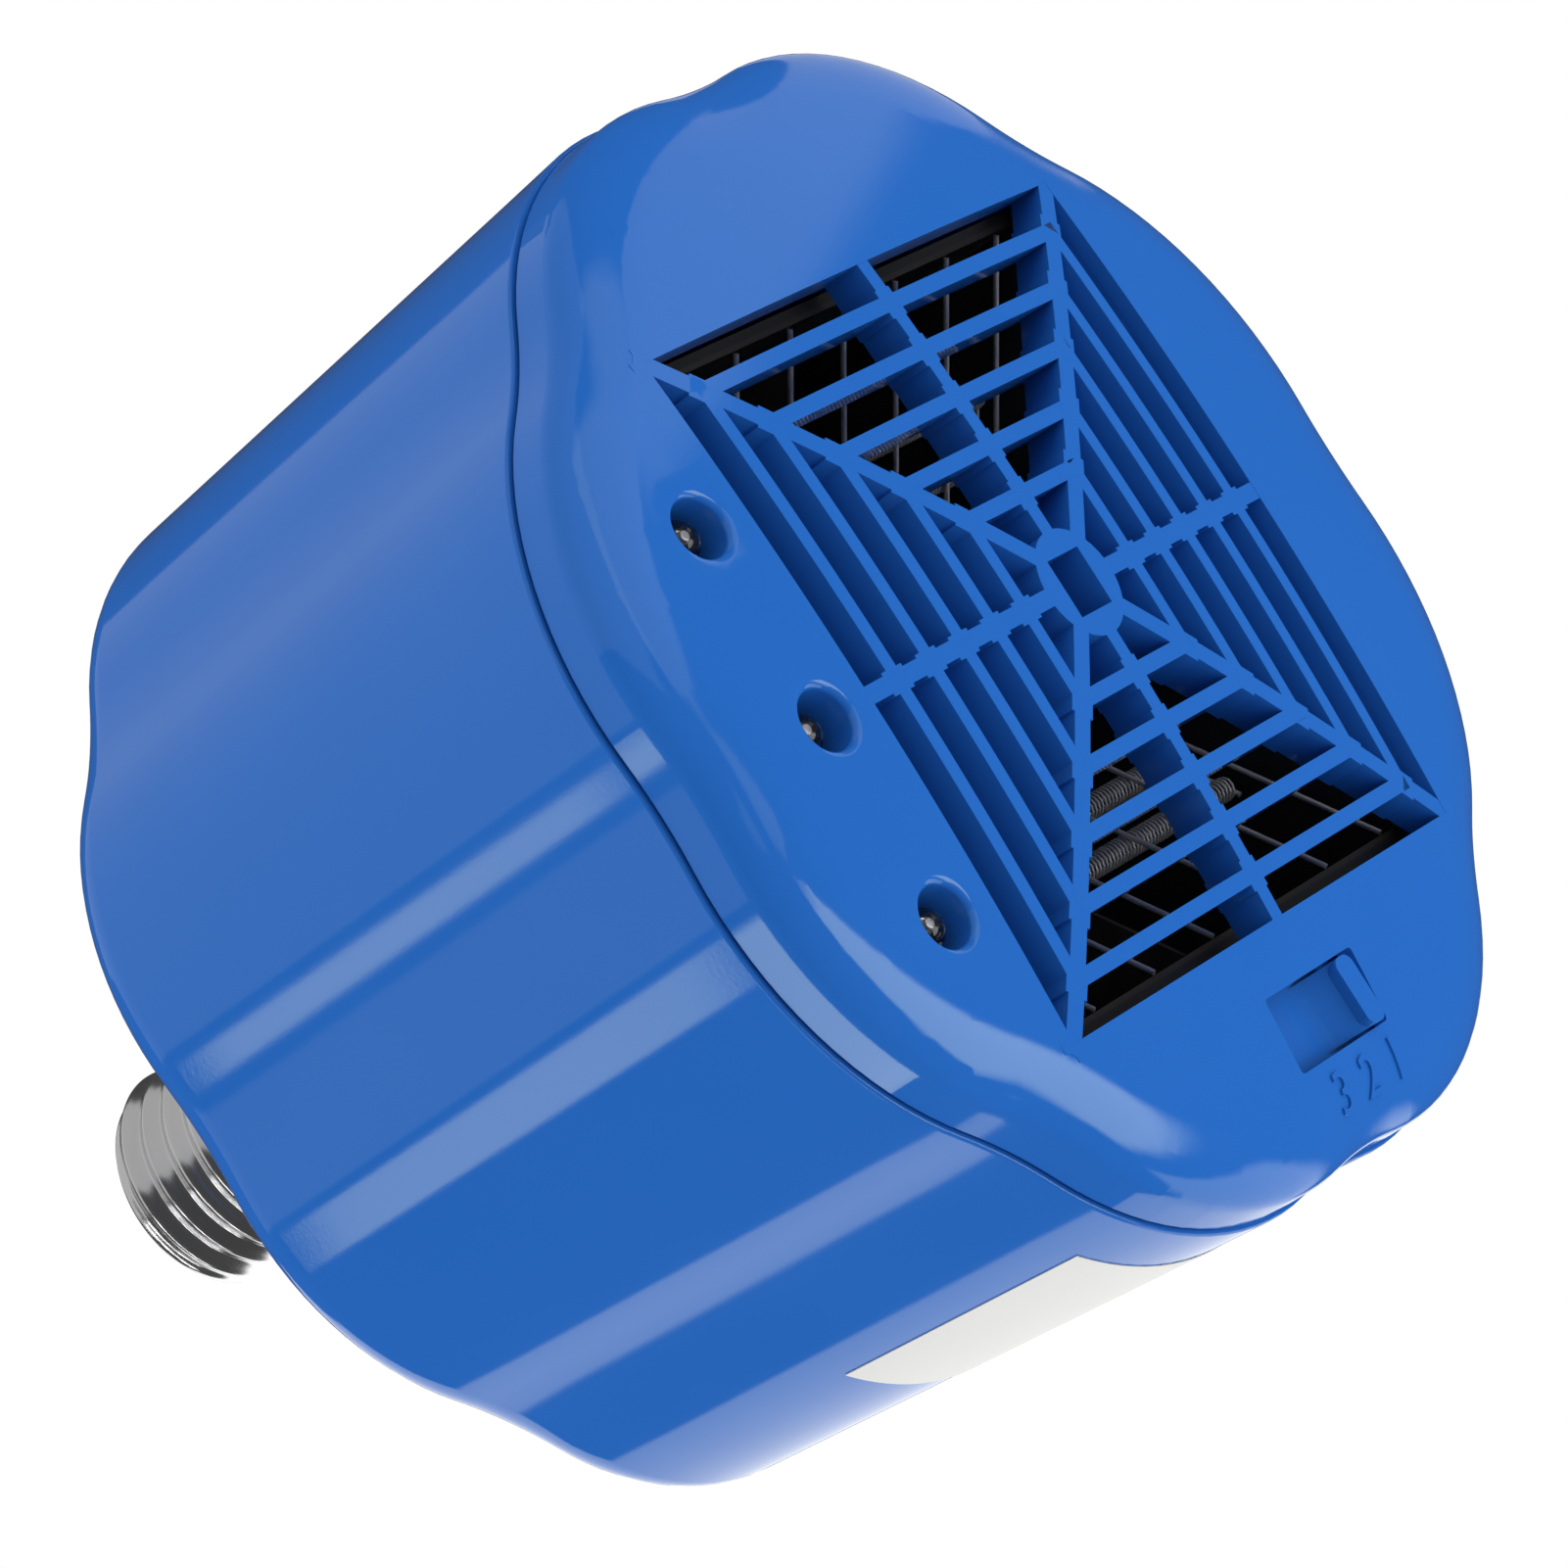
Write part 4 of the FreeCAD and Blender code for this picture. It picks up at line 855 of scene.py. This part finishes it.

# %% [markdown]
# Each lamp is a clear five-millimetre diode. Its head is nearly invisible by itself; what the eye reads
# is the metal inside: a dished cup, the bare top of a post beside it, and the bright spot of the chip in
# the cup. So the inside is modelled as well as the head. The cup is near-black as painted shade: its
# colour stands in for the dark look inside the lens, not for the metal's own colour. The head stands
# nearer to the face here than in the CAD model, by head_forward, because it does in the photograph.

# %% The clear diodes
head_forward = 1.7 * mm
lamp_tip_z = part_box("lamp_middle")[0][2] - head_forward
lamp_base_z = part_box("lamp_board")[0][2]
# The cup's finish is near-black as painted shade for the dark inside of the lens, not the metal's own colour
painted_shade_metal = finish("painted_shade_metal", (0.03, 0.03, 0.03), (0.22, 0.21, 0.20), 0.2, spread=0.2, grain_scale=1500.0,
                    grain=0.8, bump=0.5, metallic=1.0)


def diode(node, x, y):
    head = [(0, lamp_tip_z)]
    head += [(2.5 * mm * math.sin(a), lamp_tip_z + 2.5 * mm * (1 - math.cos(a)))
             for a in [math.pi / 2 * k / 12 for k in range(1, 13)]]
    head += [(2.5 * mm, lamp_base_z - mm), (2.85 * mm, lamp_base_z - mm), (2.85 * mm, lamp_base_z),
             (0, lamp_base_z)]
    lens = lathe(node + "_lens", head, (x, y), 48)
    lens.data.materials.append(clear_plastic)
    smooth(lens, 40)
    cup_z = lamp_tip_z + 1.2 * mm
    cup = lathe(node + "_cup", [(0, cup_z + 0.9 * mm), (0.7 * mm, cup_z + 0.8 * mm), (1.4 * mm, cup_z),
                                (1.6 * mm, cup_z), (2.1 * mm, cup_z + 1.4 * mm), (2.1 * mm, cup_z + 2.6 * mm),
                                (0.7 * mm, cup_z + 4 * mm), (0, cup_z + 4 * mm)], (x + 0.2 * mm, y), 24)
    post = lathe(node + "_post", [(0, cup_z - 0.1 * mm), (0.3 * mm, cup_z), (0.35 * mm, cup_z + 1.4 * mm),
                                  (0.28 * mm, cup_z + 4 * mm), (0, cup_z + 4 * mm)], (x - 1.9 * mm, y), 12)
    chip = lathe(node + "_chip", [(0, cup_z - 0.1 * mm), (0.45 * mm, cup_z), (0.5 * mm, cup_z + 0.6 * mm),
                                  (0, cup_z + 0.95 * mm)], (x + 0.2 * mm, y), 8)
    # The cup takes the near-black painted-shade finish; the post and the chip take wire metal
    for piece, material, slot in ((cup, painted_shade_metal, "steel"), (post, drawn_wire, "steel"),
                                  (chip, drawn_wire, "contact_metal")):
        piece.data.materials.append(material)
        smooth(piece, 25)
        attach(piece, "housing")
    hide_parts(node)
    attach(lens, "housing")


for node, (x, y) in zip(("lamp_left", "lamp_middle", "lamp_right"), lamp_places):
    diode(node, x, y)
print("diodes", len(lamp_places))

# %% [markdown]
# The slider has a raised rounded finger pad at one end, and from it a smooth hollow ramp runs down to
# the slider's plate. A profile along the slide direction, swept across the slot's width, gives that
# form, and a bevel rounds the pad.

# %% The switch slider
slider_low, slider_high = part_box("switch_knob")
pad_end, pad_length, nub_length = 4.0 * mm + 3.7 * mm, 3.2 * mm, 7.4 * mm
nub_half = slot_half_width - 0.3 * mm
face_z = dome_low_z + dome_drop(switch_x, 4.0 * mm) - 0.6 * mm
ramp_z = face_z + 0.7 * mm
plate_z = corner_z + 2.7 * mm
pad = rounded_prism("slider_pad", nub_half, pad_length / 2, 1.2 * mm, face_z, plate_z + mm,
                    (switch_x, pad_end - pad_length / 2), 8)
profile = [(pad_end - 0.5 * mm, plate_z + 1.4 * mm), (pad_end - 0.5 * mm, ramp_z)]
for k in range(11):
    share = k / 10
    profile.append((pad_end - pad_length + 0.6 * mm - (nub_length - pad_length + 0.6 * mm) * share,
                    ramp_z + (plate_z - ramp_z) * math.sin(math.pi / 2 * share)))
profile.append((pad_end - nub_length, plate_z + 1.4 * mm))
count = len(profile)
nub_vertices = [(switch_x + side * (nub_half - 0.05 * mm), y, z) for side in (-1, 1) for y, z in profile]
nub_faces = [tuple(range(count)), tuple(range(count, 2 * count))[::-1]]
nub_faces += [(k, (k + 1) % count, (k + 1) % count + count, k + count) for k in range(count)]
nub = outward(mesh_object("slider", nub_vertices, nub_faces))
nub = combine(nub, outward(pad), "UNION")
rounding = nub.modifiers.new("rounding", "BEVEL")
rounding.width, rounding.segments = 0.3 * mm, 3
rounding.limit_method, rounding.angle_limit = "ANGLE", math.radians(50)
nub = baked(nub, "slider")
plate = brick("plate", (switch_x - 5.2 * mm, slider_low[1], plate_z), (switch_x + 5.2 * mm, slider_high[1],
                                                                      plate_z + 1.5 * mm))
nub = combine(nub, outward(plate), "UNION")
nub.data.materials.clear()
nub.data.materials.append(housing_blue)
weighted(smooth(nub, 35))
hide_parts("switch_knob")
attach(nub, "slider")
print("slider faces", len(nub.data.polygons))

# %% [markdown]
# Three raised marks beside the slot name the switch's places. Plain numbers do it here. They are text
# turned into mesh, and laid on the cover so that they stand a little proud of it.

# %% Raised numbers beside the switch
cover_tree = BVHTree.FromPolygons([vertex.co for vertex in cover.data.vertices],
                                  [polygon.vertices for polygon in cover.data.polygons])
figure_size, figure_proud, figure_sunk = 6.3 * mm, 0.28 * mm, 0.1 * mm
figure_x, first_figure_y, figure_step = -57.6 * mm, 7.2 * mm, 5.6 * mm
slice_step = 0.5 * mm


def draped(piece):
    """Lays a flat piece on the cover: its front stands proud and its back sinks in."""
    for vertex in piece.data.vertices:
        below = Vector((vertex.co.x, vertex.co.y, dome_low_z - 5 * mm))
        place = cover_tree.ray_cast(below, Vector((0, 0, 1)))[0]
        vertex.co.z = place.z + (figure_sunk if vertex.co.z > 0 else -figure_proud)
    return piece


for k, figure in enumerate("123"):
    curve = bpy.data.curves.new("figure", "FONT")
    curve.body = figure
    curve.size = figure_size
    curve.extrude = 0.25 * mm
    curve.align_x = curve.align_y = "CENTER"
    mark = baked(add_object("figure_curve", curve), "place_" + figure)
    figure_y = first_figure_y - figure_step * k
    mark.data.transform(Matrix(((0, 1, 0, figure_x), (1, 0, 0, figure_y), (0, 0, -1, 0), (0, 0, 0, 1))))
    work = bmesh.new()
    work.from_mesh(mark.data)
    for step in range(-8, 9):
        everything = list(work.verts) + list(work.edges) + list(work.faces)
        bmesh.ops.bisect_plane(work, geom=everything, dist=1e-7,
                               plane_co=(figure_x + step * slice_step, 0, 0), plane_no=(1, 0, 0))
    work.to_mesh(mark.data)
    work.free()
    draped(mark)
    mark.data.materials.clear()
    mark.data.materials.append(housing_blue)
    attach(mark, "housing")
print("numbers placed")

# %% [markdown]
# A paper label sits on the wall beside the switch. Whatever was printed on it is left off. It is a thin
# sheet that takes the wall's own curve and lean.

# %% The bare label
label_first, label_last = 186, 232
label_low_z, label_high_z = parting_z + 8.4 * mm, parting_z + 42 * mm
label_vertices, label_faces = [], []
label_rows = 12
label_back, label_front = 0.02 * mm, 0.12 * mm
for layer in (label_back, label_front):
    for row in range(label_rows + 1):
        z = label_low_z + (label_high_z - label_low_z) * row / label_rows
        ring = outline(lean * (z - parting_z) - layer, 32, 20)
        label_vertices += [(*ring[k], z) for k in range(label_first, label_last)]
columns = label_last - label_first
for layer in range(2):
    start = layer * (label_rows + 1) * columns
    for row in range(label_rows):
        for k in range(columns - 1):
            a = start + row * columns + k
            label_faces.append((a, a + 1, a + columns + 1, a + columns))
border = list(range(columns))
border += [row * columns + columns - 1 for row in range(1, label_rows + 1)]
border += [label_rows * columns + k for k in range(columns - 2, -1, -1)]
border += [row * columns for row in range(label_rows - 1, 0, -1)]
shift = (label_rows + 1) * columns
for k, here in enumerate(border):
    following = border[(k + 1) % len(border)]
    label_faces.append((here, following, following + shift, here + shift))
label = outward(mesh_object("bare_label", label_vertices, label_faces))
label.data.materials.append(label_paper)
smooth(label, 30)
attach(label, "housing")
print("label faces", len(label.data.polygons))

# %% [markdown]
# The other parts keep their CAD shapes, because those are true to size and mostly hidden. They only need
# their finishes.

# %% Finishes of the CAD parts
part_finishes = {
    "base_insulator": insulator_black, "centre_contact": contact_metal, "live_lead": live_sleeve,
    "neutral_lead": neutral_sleeve, "fan_frame": fan_black, "fan_rotor": fan_black, "fan_shaft": plated_steel,
    "fan_stator": copper_winding, "fan_screws": plated_steel, "cover_screws": plated_steel,
    "board_screws": plated_steel, "heater_duct": duct_black, "mica_card_long": mica, "mica_card_cross": mica,
    "mica_liner_right": mica, "mica_liner_left": mica,
    "support_wires": drawn_wire, "heater_links": drawn_wire,
    "thermal_cutout": plated_steel, "thermal_fuse": plated_steel, "lamp_board": board_green,
    "switch_case": plated_steel, "switch_terminals": contact_metal, "switch_board": board_green,
    "power_board": board_green, "smoothing_capacitor": fan_black, "rectifier": fan_black}
for node, material in part_finishes.items():
    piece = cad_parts[node]
    piece.data.materials.clear()
    piece.data.materials.append(material)
print("CAD parts finished", len(part_finishes))

# %% [markdown]
# A pale floor lies far below, because the lamp hangs and the camera looks up at it. The world is plain
# white where the camera or clear plastic looks at it. Gloss is what makes this blue plastic look real,
# and in the photograph it mirrors white studio panels with sharp edges. So for gloss alone the world
# carries those panels: each is a patch between two compass directions and two heights, with its own edge
# softness. Everything else is lit by an even level, a little more from above, and less from the lamp
# side below, where a black card keeps the grille's walls and the wells deep.

# %% Shader group for one studio panel
panel, panel_in, panel_out = group_tree(
    "studio panel",
    [("Vector", "Vector", (0, 0, 0)), ("Middle", "Float", 0.0), ("Half Width", "Float", 0.2),
     ("Low", "Float", 0.0), ("High", "Float", 0.5), ("Side Softness", "Float", 0.02),
     ("End Softness", "Float", 0.02), ("Strength", "Float", 1.0)],
    [("Light", "Float")])
split = panel.nodes.new("ShaderNodeSeparateXYZ")
panel.links.new(panel_in.outputs["Vector"], split.inputs[0])
compass = math_in(panel, "ARCTAN2", split.outputs[1], split.outputs[0])
height = math_in(panel, "ARCSINE", split.outputs[2], 0)
turned = math_in(panel, "SUBTRACT", compass, panel_in.outputs["Middle"])
wrapped = panel.nodes.new("ShaderNodeMath")
wrapped.operation = "WRAP"
panel.links.new(turned, wrapped.inputs[0])
wrapped.inputs[1].default_value, wrapped.inputs[2].default_value = math.pi, -math.pi


def edge_in(tree, inside, softness):
    """Rises from 0 to 1 across an edge, where inside is the distance within it."""
    share = math_in(tree, "ADD", math_in(tree, "DIVIDE", inside, softness), 0.5)
    node = tree.nodes.new("ShaderNodeMapRange")
    node.interpolation_type = "SMOOTHSTEP"
    tree.links.new(share, node.inputs["Value"])
    return node.outputs["Result"]


side_room = math_in(panel, "SUBTRACT", panel_in.outputs["Half Width"],
                    math_in(panel, "ABSOLUTE", wrapped.outputs[0], 0))
low_room = math_in(panel, "SUBTRACT", height, panel_in.outputs["Low"])
high_room = math_in(panel, "SUBTRACT", panel_in.outputs["High"], height)
patch = math_in(panel, "MULTIPLY", edge_in(panel, side_room, panel_in.outputs["Side Softness"]),
                math_in(panel, "MULTIPLY", edge_in(panel, low_room, panel_in.outputs["End Softness"]),
                        edge_in(panel, high_room, panel_in.outputs["End Softness"])))
panel.links.new(math_in(panel, "MULTIPLY", patch, panel_in.outputs["Strength"]), panel_out.inputs["Light"])
print("panel group", len(panel.nodes), "nodes")

# %% Floor
floor_half, floor_z = 0.6, -1.3
floor = mesh_object("floor", [(-floor_half, -floor_half, floor_z), (floor_half, -floor_half, floor_z),
                              (floor_half, floor_half, floor_z), (-floor_half, floor_half, floor_z)],
                    [(0, 1, 2, 3)])
floor_pale = finish("floor_pale", (0.80, 0.80, 0.80), (0.84, 0.84, 0.84), 0.6, bump=0.02)
# The floor lets gloss see through it, so that the panels below it show in the face
floor_tree = floor_pale.node_tree
floor_mix = floor_tree.nodes.new("ShaderNodeMixShader")
floor_rays = floor_tree.nodes.new("ShaderNodeLightPath")
floor_tree.links.new(floor_rays.outputs["Is Glossy Ray"], floor_mix.inputs[0])
floor_tree.links.new(floor_tree.nodes["Principled BSDF"].outputs[0], floor_mix.inputs[1])
floor_tree.links.new(floor_tree.nodes.new("ShaderNodeBsdfTransparent").outputs[0], floor_mix.inputs[2])
floor_tree.links.new(floor_mix.outputs[0], floor_tree.nodes["Material Output"].inputs["Surface"])
floor.data.materials.append(floor_pale)
print("floor at", floor_z)

# %% World with its panels
world = bpy.data.worlds.new("studio")
bpy.context.scene.world = world
world.use_nodes = True
sky = world.node_tree
background = sky.nodes["Background"]
background.inputs["Color"].default_value = (1, 1, 1, 1)
rays = sky.nodes.new("ShaderNodeLightPath")
direction_out = sky.nodes.new("ShaderNodeTexCoord").outputs["Generated"]


def panel_light(first, last, low, high, side_soft, end_soft, strength):
    """Light of one panel, between two compass degrees and two heights in degrees."""
    node = sky.nodes.new("ShaderNodeGroup")
    node.node_tree = panel
    sky.links.new(direction_out, node.inputs["Vector"])
    for label, value in (("Middle", (first + last) / 2), ("Half Width", (last - first) / 2), ("Low", low),
                         ("High", high), ("Side Softness", side_soft), ("End Softness", end_soft)):
        node.inputs[label].default_value = math.radians(value)
    node.inputs["Strength"].default_value = strength
    return node.outputs["Light"]


# What the tub mirrors above, then the slim strips beside it, then what the face and shoulder mirror
panels = (
    (-89.5, 27, 33, 75, 1.5, 1.5, 0.45), (-112, -94, 45.2, 49.6, 2.0, 0.6, 2.6),
    (-164, -95, 33, 40.5, 3.0, 1.0, 3.2), (96, 171, 25, 75, 2.0, 2.0, 1.15),
    (126, 172, -35, 25, 6.0, 4.0, 1.4), (112, 172, -86, -48, 8.0, 8.0, 3.2),
    (60, 76.5, -47, 25, 1.0, 3.0, 0.62), (4, 74, -86, -47, 2.0, 5.0, 0.72), (-68, 18, -80, 33, 3.0, 3.0, 0.38))
dark_studio, even_level = 0.05, 1.08
glow = dark_studio
for values in panels:
    glow = math_in(sky, "ADD", panel_light(*values), glow)
card = panel_light(-165, -15, -72, 2, 20, 14, 0.5)
lift = panel_light(-200, 200, 8, 120, 1, 24, 0.17)
ambient = math_in(sky, "ADD", math_in(sky, "SUBTRACT", even_level, card), lift)
plain = math_in(sky, "MAXIMUM", rays.outputs["Is Camera Ray"], rays.outputs["Is Transmission Ray"])
lit = math_in(sky, "ADD", plain, math_in(sky, "MULTIPLY", math_in(sky, "SUBTRACT", 1, plain), ambient))
gloss = rays.outputs["Is Glossy Ray"]
sky.links.new(math_in(sky, "ADD", math_in(sky, "MULTIPLY", gloss, glow),
                      math_in(sky, "MULTIPLY", math_in(sky, "SUBTRACT", 1, gloss), lit)),
              background.inputs["Strength"])
print("panels", len(panels))

# %% [markdown]
# One soft lamp shines up at the face from the switch side. It stays out of the gloss, where the panel
# in the same direction already stands for it.

# %% The key lamp


def soft_lamp(name, direction, distance, size, power, centre):
    """A square lamp that faces a point from a direction, and stays out of the gloss."""
    data = bpy.data.lights.new(name, "AREA")
    data.shape, data.size, data.size_y, data.energy = "RECTANGLE", size, size, power
    lamp = bpy.data.objects.new(name, data)
    bpy.context.scene.collection.objects.link(lamp)
    lamp.visible_glossy = False
    direction = Vector(direction).normalized()
    facing = direction.to_track_quat("Z", "Y").to_matrix().to_4x4()
    lamp.matrix_world = Matrix.Translation(Vector(centre) + direction * distance) @ facing
    return lamp


soft_lamp("key", (-0.36, 0.30, -0.88), 0.9, 0.5, 2.2, (0, 0, -0.10))
print("lamps", len(bpy.data.lights))
